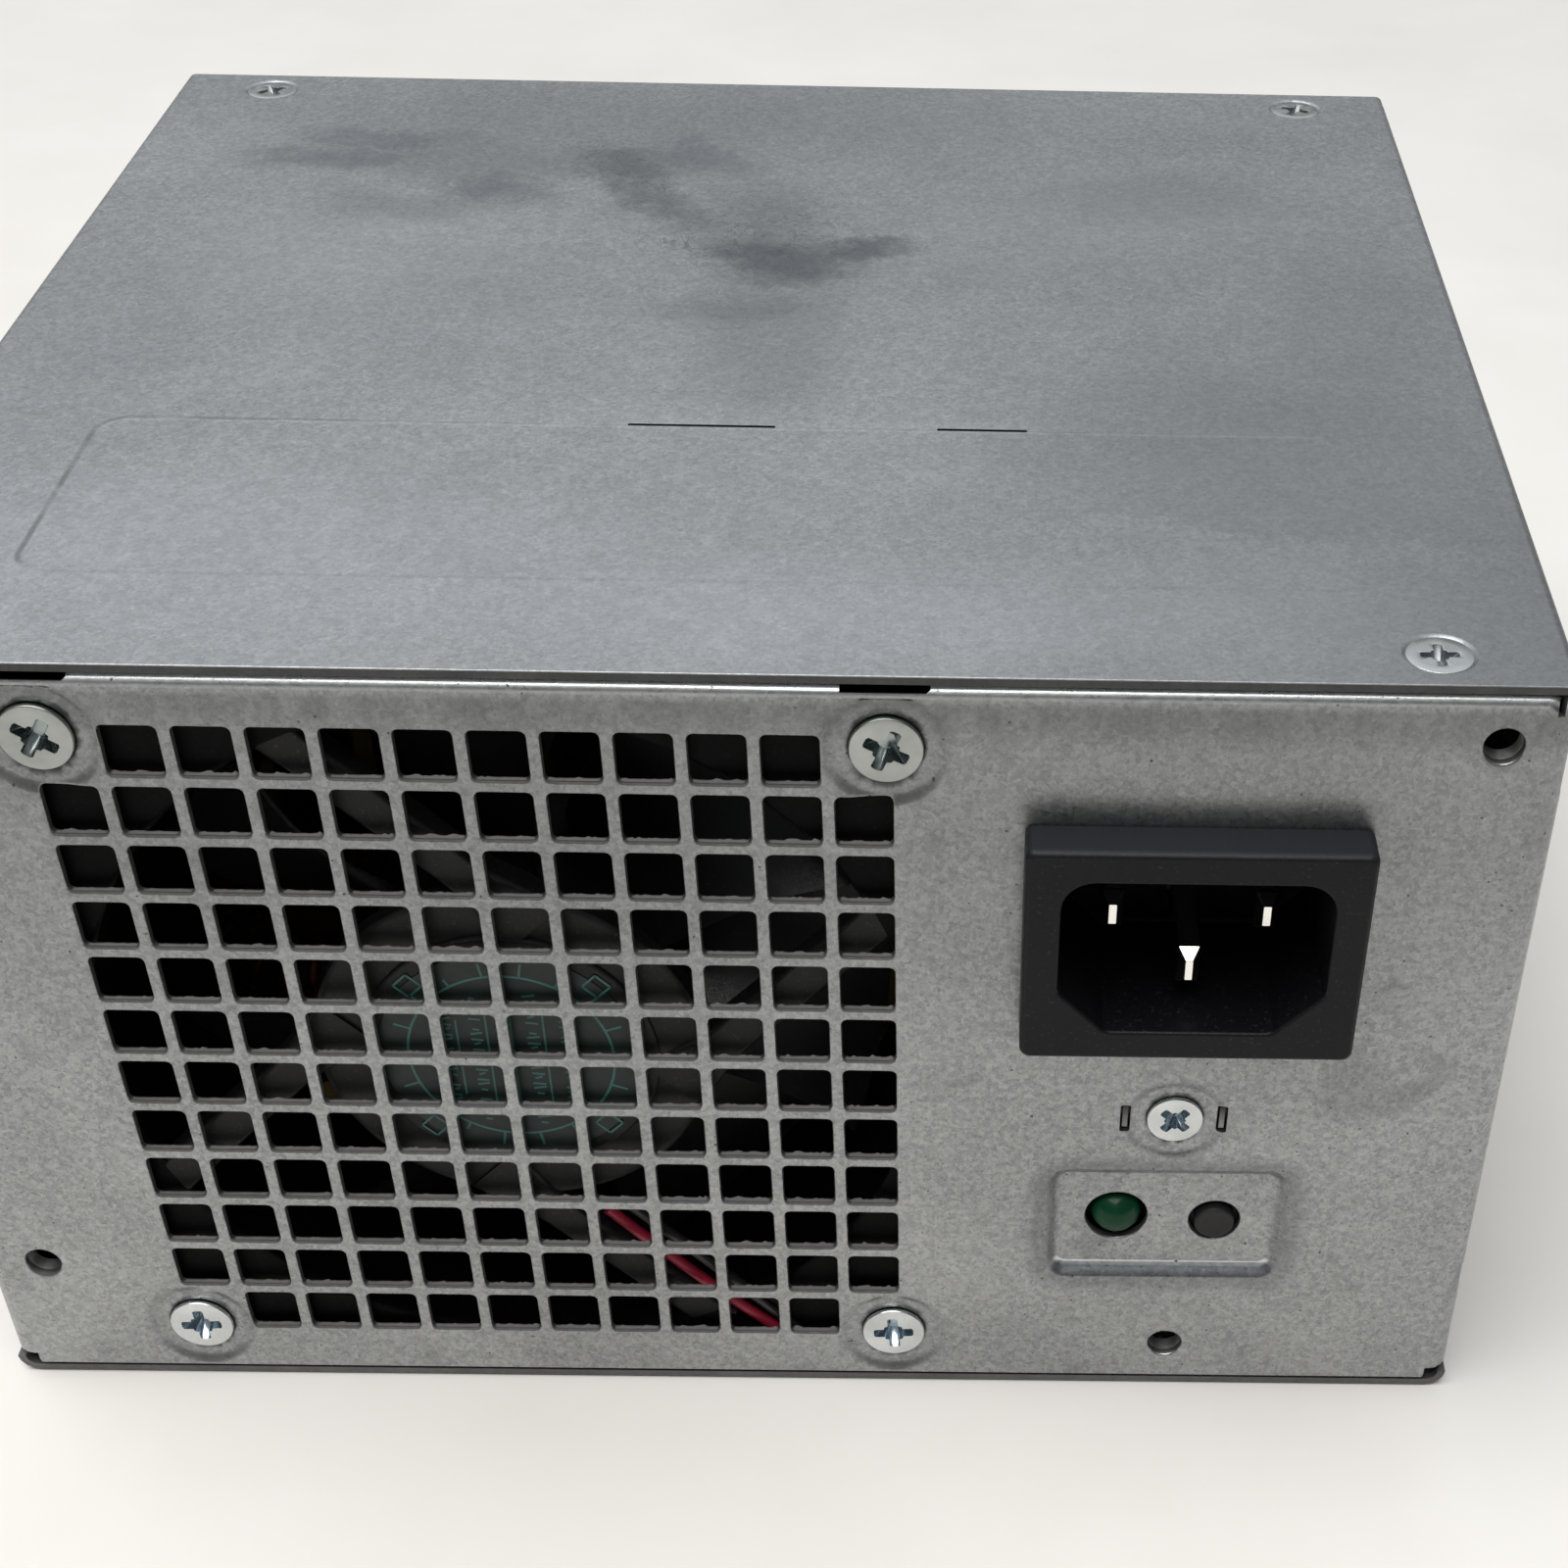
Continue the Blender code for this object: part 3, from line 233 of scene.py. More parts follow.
def plastic(name, rgb, rough=0.5, grain=3000.0, depth=0.00004, dust=0.0, spec=0.5, top=None):
    """Moulded plastic with fine erosion texture and a little dust."""
    m, nt, bsdf = new_material(name)
    vec = coords(nt)
    g = noise(nt, vec, grain, 3.0, 0.6)
    broad = noise(nt, vec, 90.0, 3.0, 0.5)
    shade = mix(nt, maprange(nt, broad, 0.3, 0.7, 0.0, 1.0), tuple(c * 0.86 for c in rgb),
                tuple(min(1, c * 1.14) for c in rgb))
    if dust:
        speck = noise(nt, vec, 2600.0, 2.0, 0.5)
        f = math_node(nt, "MULTIPLY", maprange(nt, speck, 0.62, 0.75, 0.0, 1.0), dust)
        shade = mix(nt, f, shade, (0.35, 0.35, 0.36))
    if top:
        # painted light: the upward-facing outside face above the given height is lightened, as if lit from above
        geo = nt.nodes.new("ShaderNodeNewGeometry")
        up = nt.nodes.new("ShaderNodeSeparateXYZ")
        nt.links.new(geo.outputs["Normal"], up.inputs[0])
        at = nt.nodes.new("ShaderNodeSeparateXYZ")
        nt.links.new(vec, at.inputs[0])
        f = math_node(nt, "MULTIPLY", maprange(nt, up.outputs["Z"], 0.3, 0.9, 0.0, 0.8),
                      maprange(nt, at.outputs["Z"], top - 0.0006, top - 0.0002, 0.0, 1.0))
        shade = mix(nt, f, shade, (0.020, 0.021, 0.025))
    nt.links.new(shade, bsdf.inputs["Base Color"])
    nt.links.new(maprange(nt, g, 0.3, 0.7, max(rough - 0.08, 0.05), rough + 0.08), bsdf.inputs["Roughness"])
    bsdf.inputs["Specular IOR Level"].default_value = spec
    bump(nt, bsdf, g, 0.25, depth)
    return m


def metal(name, rgb, rough=0.25, grain=900.0, stretch=(1, 1, 1), depth=0.00002, painted_shadow_heights=None):
    """Plated or drawn metal with fine scratches and tone changes."""
    m, nt, bsdf = new_material(name)
    vec = coords(nt, 1.0, stretch)
    g = noise(nt, vec, grain, 3.0, 0.6)
    b = noise(nt, vec, 220.0, 3.0, 0.5)
    col = mix(nt, maprange(nt, b, 0.3, 0.7, 0.0, 1.0), tuple(c * 0.85 for c in rgb), tuple(min(1, c * 1.1) for c in rgb))
    if painted_shadow_heights:
        # painted shadow: darker towards the top, between two heights
        at = nt.nodes.new("ShaderNodeSeparateXYZ")
        nt.links.new(coords(nt), at.inputs[0])
        col = mix(nt, maprange(nt, at.outputs["Z"], painted_shadow_heights[0], painted_shadow_heights[1], 0.0, 0.9), col, (0.01, 0.01, 0.01))
    nt.links.new(col, bsdf.inputs["Base Color"])
    bsdf.inputs["Metallic"].default_value = 1.0
    nt.links.new(maprange(nt, g, 0.3, 0.7, max(rough - 0.07, 0.03), rough + 0.1), bsdf.inputs["Roughness"])
    bump(nt, bsdf, g, 0.15, depth)
    return m


def winding(name, rgb, pitch=0.9, metallic=0.7, rough=0.35):
    """Enamelled wire laid side by side: fine ridges with small tone changes."""
    m, nt, bsdf = new_material(name)
    vec = coords(nt)
    w = nd(nt, "ShaderNodeTexWave", Vector=vec, Scale=1.0 / (pitch * MM) / 6.2832 * 2.0,
           Distortion=1.5, Detail=2.0)
    w.wave_type = "RINGS"
    nt.links.new(mix(nt, w.outputs["Fac"], tuple(c * 0.35 for c in rgb), rgb), bsdf.inputs["Base Color"])
    bsdf.inputs["Metallic"].default_value = metallic
    nt.links.new(maprange(nt, noise(nt, vec, 700.0), 0.3, 0.7, rough - 0.08, rough + 0.12),
                 bsdf.inputs["Roughness"])
    bump(nt, bsdf, w.outputs["Fac"], 0.5, 0.0002)
    return m


def cover_stains_and_painted_shadow(nt, vec, col):
    """Cloudy oxide patches, the darker smudges on the cover, and a painted shadow line round the embossed field."""
    wav = nd(nt, "ShaderNodeVectorMath", _operation="ADD")
    nz = nd(nt, "ShaderNodeTexNoise", Vector=vec, Scale=70.0, Detail=3.0)
    off = nd(nt, "ShaderNodeVectorMath", _operation="MULTIPLY_ADD")
    nt.links.new(nz.outputs["Color"], off.inputs[0])
    off.inputs[1].default_value = (0.011, 0.013, 0.0)
    off.inputs[2].default_value = (-0.0055, -0.0065, 0.0)
    nt.links.new(vec, wav.inputs[0])
    nt.links.new(off.outputs["Vector"], wav.inputs[1])
    warp = wav.outputs["Vector"]

    def patch(c, amount, colour, *spots):
        f = None
        for sp in spots:
            b = blob(nt, warp, *sp)
            f = b if f is None else math_node(nt, "MAXIMUM", f, b)
        return mix(nt, math_node(nt, "MULTIPLY", f, amount), c, colour)

    # broad lighter and darker clouds
    col = patch(col, 0.30, (0.20, 0.215, 0.215), (52, 44, 34, 26, 10), (64, 70, 20, 36, 0))
    col = patch(col, 0.34, (0.19, 0.20, 0.205), (3, 66, 13, 26, 0), (-2, 102, 12, 12, 0))
    col = patch(col, 0.42, (0.17, 0.18, 0.19), (-30, 113, 40, 10, 0), (46, 104, 20, 12, 0), (-42, 98, 16, 8, -20))
    col = patch(col, 0.30, (0.60, 0.62, 0.65), (-40, 20, 66, 26, 0), (10, 11, 90, 14, 0))
    col = patch(col, 0.16, (0.25, 0.27, 0.30), (-64, 60, 22, 40, 0), (-30, 70, 30, 24, 30))
    col = patch(col, 0.30, (0.56, 0.58, 0.60), (-46, 86, 26, 22, 0), (40, 98, 30, 20, 0))
    col = patch(col, 0.35, (0.22, 0.23, 0.25), (-10, 128, 80, 20, 0))
    col = patch(col, 0.30, (0.15, 0.155, 0.165), (1, 90, 10, 17, 0), (-30, 101, 10, 7, 0))
    col = patch(col, 0.10, (0.12, 0.125, 0.13), (22, 92, 62, 30, 0))
    # painted shadow line along the step round the shallow embossed field, strongest on the left and faded at its near
    # edge
    at = nt.nodes.new("ShaderNodeSeparateXYZ")
    nt.links.new(vec, at.inputs[0])
    hx, hy, rr = 0.0595, 0.0151, 0.0035
    qx = math_node(nt, "SUBTRACT", math_node(nt, "ABSOLUTE", math_node(nt, "ADD", at.outputs["X"], 0.0005)), hx - rr)
    qy = math_node(nt, "SUBTRACT", math_node(nt, "ABSOLUTE", math_node(nt, "SUBTRACT", at.outputs["Y"], 0.0301 + REAR * MM)),
                   hy - rr)
    ox, oy = math_node(nt, "MAXIMUM", qx, 0.0), math_node(nt, "MAXIMUM", qy, 0.0)
    outside = math_node(nt, "SQRT", math_node(nt, "ADD", math_node(nt, "MULTIPLY", ox, ox), math_node(nt, "MULTIPLY", oy, oy)))
    sd = math_node(nt, "ADD", outside, math_node(nt, "MINIMUM", math_node(nt, "MAXIMUM", qx, qy), 0.0))
    sd = math_node(nt, "ABSOLUTE", math_node(nt, "SUBTRACT", sd, rr - 0.0002))
    line = maprange(nt, sd, 0.00008, 0.00042, 1.0, 0.0, True)
    line = math_node(nt, "MULTIPLY", line, maprange(nt, at.outputs["X"], -0.05, 0.05, 0.60, 0.12))
    line = math_node(nt, "MULTIPLY", line, maprange(nt, noise(nt, vec, 260.0, 2.0), 0.35, 0.6, 0.35, 1.0))
    near = math_node(nt, "MULTIPLY", maprange(nt, at.outputs["Y"], REAR * MM + 0.0155, REAR * MM + 0.0175, 0.15, 1.0), 1.0)
    line = math_node(nt, "MULTIPLY", line, near)
    col = mix(nt, line, col, (0.10, 0.105, 0.11))
    # tide mark: duller metal on the right behind a wavy edge
    wavy = noise(nt, vec, 55.0, 4.0, 0.62, 0.6)
    edge_y = math_node(nt, "ADD", REAR * MM + 0.014, math_node(nt, "MULTIPLY", wavy, 0.022))
    past = math_node(nt, "SUBTRACT", at.outputs["Y"], edge_y)
    tide = math_node(nt, "MULTIPLY", maprange(nt, past, 0.0, 0.0022, 0.0, 1.0, True), maprange(nt, past, 0.022, 0.052, 1.0, 0.0, True))
    tide = math_node(nt, "MULTIPLY", tide, maprange(nt, math_node(nt, "ADD", at.outputs["X"], math_node(nt, "MULTIPLY", wavy, 0.02)),
                                                    0.022, 0.060, 0.0, 0.26, True))
    col = mix(nt, tide, col, (0.19, 0.20, 0.20))
    # darker towards the right front corner
    corner = math_node(nt, "MULTIPLY", maprange(nt, at.outputs["X"], 0.020, 0.076, 0.0, 0.60),
                       maprange(nt, at.outputs["Y"], REAR * MM + 0.014, REAR * MM + 0.044, 1.0, 0.12, True))
    col = mix(nt, corner, col, (0.185, 0.19, 0.195))
    # smudges, ragged at the edge and streaked inside
    nz2 = nd(nt, "ShaderNodeTexNoise", Vector=vec, Scale=330.0, Detail=3.0, Roughness=0.65)
    off2 = nd(nt, "ShaderNodeVectorMath", _operation="MULTIPLY_ADD")
    nt.links.new(nz2.outputs["Color"], off2.inputs[0])
    off2.inputs[1].default_value = (0.0085, 0.0085, 0.0)
    off2.inputs[2].default_value = (-0.00425, -0.00425, 0.0)
    wav2 = nd(nt, "ShaderNodeVectorMath", _operation="ADD")
    nt.links.new(warp, wav2.inputs[0])
    nt.links.new(off2.outputs["Vector"], wav2.inputs[1])
    warp = wav2.outputs["Vector"]
    col = patch(col, 0.78, (0.115, 0.12, 0.135), (2, 86, 13, 9.5, 0), (10, 89, 9, 5, 15))
    col = patch(col, 0.42, (0.15, 0.155, 0.17), (-2, 72.5, 11, 7.0, 4))
    col = patch(col, 0.60, (0.13, 0.14, 0.155), (-13, 103, 21, 5.4, -64), (-17, 113, 12, 6, -50))
    col = patch(col, 0.55, (0.16, 0.17, 0.19), (-31, 105, 10, 6, -24), (-52, 113, 16, 6, 4), (-46, 120, 14, 6, 0),
                (-8, 116, 12, 6, -30))
    vein = noise(nt, vec, 150.0, 3.0, 0.7, 2.2)
    vein = maprange(nt, math_node(nt, "ABSOLUTE", math_node(nt, "SUBTRACT", vein, 0.5)), 0.004, 0.022, 1.0, 0.0, True)
    zone = math_node(nt, "MAXIMUM", blob(nt, vec, 0, 90, 22, 17, 0), blob(nt, vec, -16, 108, 26, 9, -62))
    col = mix(nt, math_node(nt, "MULTIPLY", math_node(nt, "MULTIPLY", vein, zone), 0.55), col, (0.10, 0.105, 0.12))
    big = nd(nt, "ShaderNodeTexVoronoi", Vector=vec, Scale=620.0)
    bigs = nd(nt, "ShaderNodeSeparateColor", Color=big.outputs["Color"])
    return mix(nt, maprange(nt, bigs.outputs[0], 0.0, 1.0, 0.0, 0.22), col, (0.30, 0.31, 0.32))


def rear_stains_and_painted_light(nt, vec, col):
    """Painted shade darker towards the top, a streaky band under the top bend, painted shade round the pad and the
    screw dimples, painted highlights on the top bend and along the pad's floor edge, a bluish painted shade on the
    pad's lower wall, and dark pin-prick specks.
    """
    at = nt.nodes.new("ShaderNodeSeparateXYZ")
    nt.links.new(vec, at.inputs[0])
    z = at.outputs["Z"]
    # painted shade: the panel is darkened towards the top
    col = mix(nt, maprange(nt, z, 0.030, 0.078, 0.0, 0.34, True), col, (0.10, 0.105, 0.108))
    streak = nd(nt, "ShaderNodeMapping", Vector=vec)
    streak.inputs["Scale"].default_value = (1.0, 1.0, 0.12)
    lines = noise(nt, streak.outputs["Vector"], 520.0, 2.0, 0.6)
    band = math_node(nt, "MULTIPLY", maprange(nt, z, 0.0785, 0.0822, 0.0, 1.0, True),
                     maprange(nt, z, 0.0838, 0.0830, 0.0, 1.0, True))
    amount = math_node(nt, "MULTIPLY", band, maprange(nt, lines, 0.35, 0.65, 0.28, 0.52))
    col = mix(nt, amount, col, (0.085, 0.09, 0.092))
    # painted shade: a darker band on the panel just outside the pad's rounded edge
    px = math_node(nt, "SUBTRACT", math_node(nt, "ABSOLUTE", math_node(nt, "SUBTRACT", at.outputs["X"], 0.04395)), 0.01135 - 0.0015)
    pz = math_node(nt, "SUBTRACT", math_node(nt, "ABSOLUTE", math_node(nt, "SUBTRACT", z, 0.0232)), 0.0068 - 0.0015)
    ox, oz = math_node(nt, "MAXIMUM", px, 0.0), math_node(nt, "MAXIMUM", pz, 0.0)
    away = math_node(nt, "SQRT", math_node(nt, "ADD", math_node(nt, "MULTIPLY", ox, ox), math_node(nt, "MULTIPLY", oz, oz)))
    away = math_node(nt, "ADD", away, math_node(nt, "MINIMUM", math_node(nt, "MAXIMUM", px, pz), 0.0))
    away = math_node(nt, "ABSOLUTE", math_node(nt, "SUBTRACT", away, 0.0024))
    front_face = maprange(nt, at.outputs["Y"], REAR * MM + 0.0016, REAR * MM + 0.0019, 1.0, 0.0)
    pad_rim_painted_shade = math_node(nt, "MULTIPLY", maprange(nt, away, 0.0002, 0.0022, 0.36, 0.0, True), front_face)
    col = mix(nt, pad_rim_painted_shade, col, (0.07, 0.078, 0.088))
    broad = noise(nt, vec, 105.0, 2.0, 0.5, 1.0)
    col = mix(nt, maprange(nt, broad, 0.60, 0.76, 0.0, 0.35, True), col, (0.12, 0.125, 0.125))
    # painted shade: darker rings on the shoulders of the fan and bracket screw dimples
    ring = None
    for x, zc, radius, width, amount in ((-54.75, 78.75, 5.0, 1.3, 0.30), (16.75, 78.75, 5.0, 1.3, 0.34),
                                         (-54.75, 7.25, 5.0, 1.2, 0.26), (16.75, 7.25, 5.0, 1.2, 0.26),
                                         (44.0, 37.25, 4.65, 0.62, 0.42)):
        dx = math_node(nt, "SUBTRACT", at.outputs["X"], x * MM)
        dz = math_node(nt, "SUBTRACT", z, zc * MM)
        dist = math_node(nt, "SQRT", math_node(nt, "ADD", math_node(nt, "MULTIPLY", dx, dx), math_node(nt, "MULTIPLY", dz, dz)))
        dist = math_node(nt, "ABSOLUTE", math_node(nt, "SUBTRACT", dist, radius * MM))
        one = maprange(nt, dist, 0.0, width * MM, amount, 0.0, True)
        ring = one if ring is None else math_node(nt, "MAXIMUM", ring, one)
    ring = math_node(nt, "MULTIPLY", ring, maprange(nt, noise(nt, vec, 190.0, 2.0), 0.35, 0.62, 0.45, 1.0))
    col = mix(nt, ring, col, (0.075, 0.08, 0.08))
    # painted highlight along the top bend
    bend = maprange(nt, z, 0.0838, 0.0848, 0.0, 0.7)
    col = mix(nt, bend, col, (0.84, 0.85, 0.86))
    # painted shade with a bluish tint on the pad's lower wall, and a painted highlight along the edge of the pad's
    # floor
    below = maprange(nt, z, 0.0174, 0.0178, 1.0, 0.0)
    beside = maprange(nt, at.outputs["X"], 0.031, 0.0325, 0.0, 1.0)
    deep = math_node(nt, "SUBTRACT", at.outputs["Y"], REAR * MM)
    wall = math_node(nt, "MULTIPLY", maprange(nt, deep, 0.00022, 0.00045, 0.0, 0.45), maprange(nt, deep, 0.00080, 0.00105, 1.0, 0.0))
    pad_floor_painted_highlight = math_node(nt, "MULTIPLY", maprange(nt, deep, 0.00088, 0.00108, 0.0, 0.75), maprange(nt, deep, 0.00117, 0.001195, 1.0, 0.0))
    near = math_node(nt, "MULTIPLY", below, beside)
    near = math_node(nt, "MULTIPLY", near, maprange(nt, z, 0.0140, 0.0150, 0.0, 1.0))
    col = mix(nt, math_node(nt, "MULTIPLY", wall, near), col, (0.14, 0.155, 0.18))
    col = mix(nt, math_node(nt, "MULTIPLY", pad_floor_painted_highlight, near), col, (0.80, 0.82, 0.85))
    speck = noise(nt, vec, 1900.0, 0.0, 0.5)
    return mix(nt, maprange(nt, speck, 0.80, 0.86, 0.0, 0.8), col, (0.03, 0.03, 0.03))


M = {}
M["rear"] = galvanised("galvanised_rear", (0.425, 0.434, 0.437), (0.190, 0.197, 0.198), rough=(0.26, 0.38), stains=rear_stains_and_painted_light,
                       flake=0.40, sheared=True)
M["cover"] = galvanised("galvanised_cover", (0.53, 0.548, 0.565), (0.31, 0.322, 0.335), rough=(0.34, 0.46), stains=cover_stains_and_painted_shadow)
M["zinc"] = metal("zinc_plate", (0.66, 0.68, 0.68), 0.27)
# darker, bluish copy of the zinc for the screw recesses: painted shade and painted reflection
M["zinc_recess_painted_shade"] = metal("zinc_recess", (0.44, 0.52, 0.58), 0.22)
M["cut"] = metal("sheared_edge", (0.17, 0.17, 0.168), 0.58, 2200.0)
M["cut_dark"] = metal("sheared_edge_cover", (0.085, 0.085, 0.087), 0.55, 2200.0)
M["zinc_dull"] = metal("zinc_plate_dull", (0.37, 0.385, 0.37), 0.34)
# darker grey copy of the zinc for the cover screws' recesses: painted shade
M["zinc_pale_recess_painted_shade"] = metal("zinc_recess_pale", (0.27, 0.29, 0.30), 0.48)
# darker copy of the dull zinc for the upper fan screws' recesses: painted shade
M["zinc_dull_recess_painted_shade"] = metal("zinc_recess_dull", (0.30, 0.34, 0.34), 0.20)
# painted shadow on the upper part of the bracket's tabs, under the slots' top edges
M["bracket"] = metal("bracket_steel", (0.24, 0.24, 0.24), 0.5, painted_shadow_heights=(0.0366, 0.0390))
M["dust"] = plastic("settled_dust", (0.145, 0.142, 0.138), 0.85, 5200.0, 0.0001, spec=0.1)
# the top= height paints light on the inlet flange's upper face
M["inlet"] = plastic("inlet_plastic", (0.0042, 0.0042, 0.0055), 0.44, dust=0.05, spec=0.18, top=0.0712)
M["fan"] = plastic("fan_plastic", (0.0016, 0.0016, 0.0018), 0.50, dust=0.02, spec=0.07)
M["hub"] = plastic("fan_hub_plastic", (0.0095, 0.0095, 0.0098), 0.46, dust=0.06, spec=0.22)
M["rotor"] = plastic("rotor_plastic", (0.006, 0.006, 0.007), 0.36, dust=0.05, spec=0.4)
M["pin"] = metal("plated_pin", (0.86, 0.85, 0.80), 0.11, 1500.0)
# dark copy of the pin metal: painted shade on the tip bevels of the live and neutral blades
M["pin_shade"] = metal("plated_pin_bevel_painted_shade", (0.035, 0.035, 0.036), 0.45, 1500.0)
M["bronze"] = metal("bearing_bronze", (0.55, 0.38, 0.20), 0.4)
M["copper"] = winding("copper_winding", (0.26, 0.085, 0.03), metallic=0.45)
M["board"] = plastic("board_laminate", (0.42, 0.30, 0.13), 0.55, 900.0, dust=0.1)
M["button"] = plastic("button_plastic", (0.014, 0.013, 0.014), 0.5, spec=0.3)
M["epoxy"] = plastic("epoxy_black", (0.02, 0.02, 0.022), 0.5)
M["film"] = plastic("insulator_film", (0.62, 0.62, 0.56), 0.35)
M["ceramic"] = plastic("fuse_ceramic", (0.70, 0.68, 0.62), 0.45)
M["sleeve"] = plastic("capacitor_sleeve", (0.018, 0.028, 0.075), 0.28)
M["tape"] = plastic("yellow_tape", (0.60, 0.42, 0.04), 0.35)
M["ferrite"] = plastic("ferrite", (0.045, 0.045, 0.047), 0.62, 1600.0)
M["alu"] = metal("heatsink_aluminium", (0.72, 0.73, 0.74), 0.38, 500.0, (1, 8, 1))
M["rubber"] = plastic("grommet_rubber", (0.022, 0.022, 0.022), 0.65, 2200.0)
M["braid"] = plastic("cable_sleeving", (0.020, 0.020, 0.020), 0.6)
M["nylon"] = plastic("connector_nylon", (0.026, 0.026, 0.028), 0.45)
M["red"] = plastic("wire_red", (0.30, 0.012, 0.035), 0.40, 1500.0)
M["black"] = plastic("wire_black", (0.015, 0.015, 0.016), 0.35, 1500.0)
M["brown"] = plastic("wire_brown", (0.16, 0.055, 0.02), 0.35, 1500.0)
M["blue"] = plastic("wire_blue", (0.02, 0.09, 0.42), 0.35, 1500.0)
M["green"] = plastic("wire_green", (0.05, 0.26, 0.05), 0.35, 1500.0)
M["yellow"] = plastic("wire_yellow", (0.66, 0.48, 0.03), 0.35, 1500.0)
M["orange"] = plastic("wire_orange", (0.62, 0.17, 0.02), 0.35, 1500.0)
M["label"] = plastic("label_film", (0.0080, 0.0150, 0.0140), 0.42, 1200.0, 0.00001, spec=0.35)
M["print"] = plastic("label_print", (0.022, 0.108, 0.094), 0.45, 2000.0, 0.000005)


def led_material():
    m, nt, bsdf = new_material("led_green")
    vec = coords(nt)
    n = noise(nt, vec, 380.0, 2.0, 0.5)
    nt.links.new(mix(nt, maprange(nt, n, 0.3, 0.7, 0, 1), (0.003, 0.034, 0.014), (0.005, 0.050, 0.021)),
                 bsdf.inputs["Base Color"])
    nt.links.new(maprange(nt, noise(nt, vec, 1500.0), 0.3, 0.7, 0.16, 0.26), bsdf.inputs["Roughness"])
    bsdf.inputs["Specular IOR Level"].default_value = 0.16
    bsdf.inputs["Subsurface Weight"].default_value = 0.25
    bsdf.inputs["Subsurface Radius"].default_value = (0.3, 1.0, 0.4)
    bsdf.inputs["Subsurface Scale"].default_value = 0.0008
    return m


M["led"] = led_material()


# ------------------------------------------------------------------ mesh helpers
def finish_mesh(name, verts, faces, mats, body="case", replaces=(), sharp=38.0, mat_index=None,
                recalc=True, smooth=True):
    """verts in metres."""
    mesh = bpy.data.meshes.new(name)
    mesh.from_pydata([tuple(v) for v in verts], [], [tuple(f) for f in faces])
    if mat_index is not None:
        mesh.polygons.foreach_set("material_index", mat_index)
    bm = bmesh.new()
    bm.from_mesh(mesh)
    if recalc:
        bmesh.ops.recalc_face_normals(bm, faces=bm.faces)
    bm.to_mesh(mesh)
    bm.free()
    if smooth:
        mesh.shade_smooth()
        mesh.set_sharp_from_angle(angle=math.radians(sharp))
    for m in (mats if isinstance(mats, (list, tuple)) else [mats]):
        mesh.materials.append(m)
    obj = bpy.data.objects.new(name, mesh)
    bpy.context.scene.collection.objects.link(obj)
    if smooth:
        w = obj.modifiers.new("weighted", "WEIGHTED_NORMAL")
        w.keep_sharp = True
        w.weight = 70
    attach(obj, body)
    if replaces:
        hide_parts(*replaces)
    return obj


def rrect(cx, cy, w, h, r, n=4):
    """Rounded rectangle outline, counter-clockwise."""
    r = max(min(r, w / 2 - 1e-4, h / 2 - 1e-4), 1e-3)
    pts = []
    for qx, qy, a0 in ((1, 1, 0), (-1, 1, 90), (-1, -1, 180), (1, -1, 270)):
        for k in range(n + 1):
            a = math.radians(a0 + 90 * k / n)
            pts.append((cx + qx * (w / 2 - r) + r * math.cos(a), cy + qy * (h / 2 - r) + r * math.sin(a)))
    return pts


def circle(cx, cy, r, n=32, phase=0.0):
    return [(cx + r * math.cos(2 * math.pi * (k + phase) / n), cy + r * math.sin(2 * math.pi * (k + phase) / n))
            for k in range(n)]


def sdf_rrect(u, v, cx, cy, w, h, r):
    """Signed distance to a rounded rectangle, negative inside."""
    qx = np.abs(u - cx) - (w / 2 - r)
    qy = np.abs(v - cy) - (h / 2 - r)
    return np.hypot(np.maximum(qx, 0), np.maximum(qy, 0)) + np.minimum(np.maximum(qx, qy), 0) - r


def rim(s, r):
    """Depth of a rounded rim of radius r at distance s from the hole's edge."""
    t = np.clip(r - s, 0, r)
    return r - np.sqrt(np.maximum(r * r - t * t, 0))


def step(t):
    t = np.clip(t, 0, 1)
    return t * t * (3 - 2 * t)


def inside_poly(poly, pts):
    poly = np.asarray(poly, float)
    x, y = pts[:, 0], pts[:, 1]
    x0, y0 = poly[:, 0], poly[:, 1]
    x1, y1 = np.roll(x0, -1), np.roll(y0, -1)
    hit = np.zeros(len(pts), bool)
    for a, b, c, e in zip(x0, y0, x1, y1):
        if b == e:
            continue
        cond = (b > y) != (e > y)
        hit ^= cond & (x < (c - a) * (y - b) / (e - b) + a)
    return hit


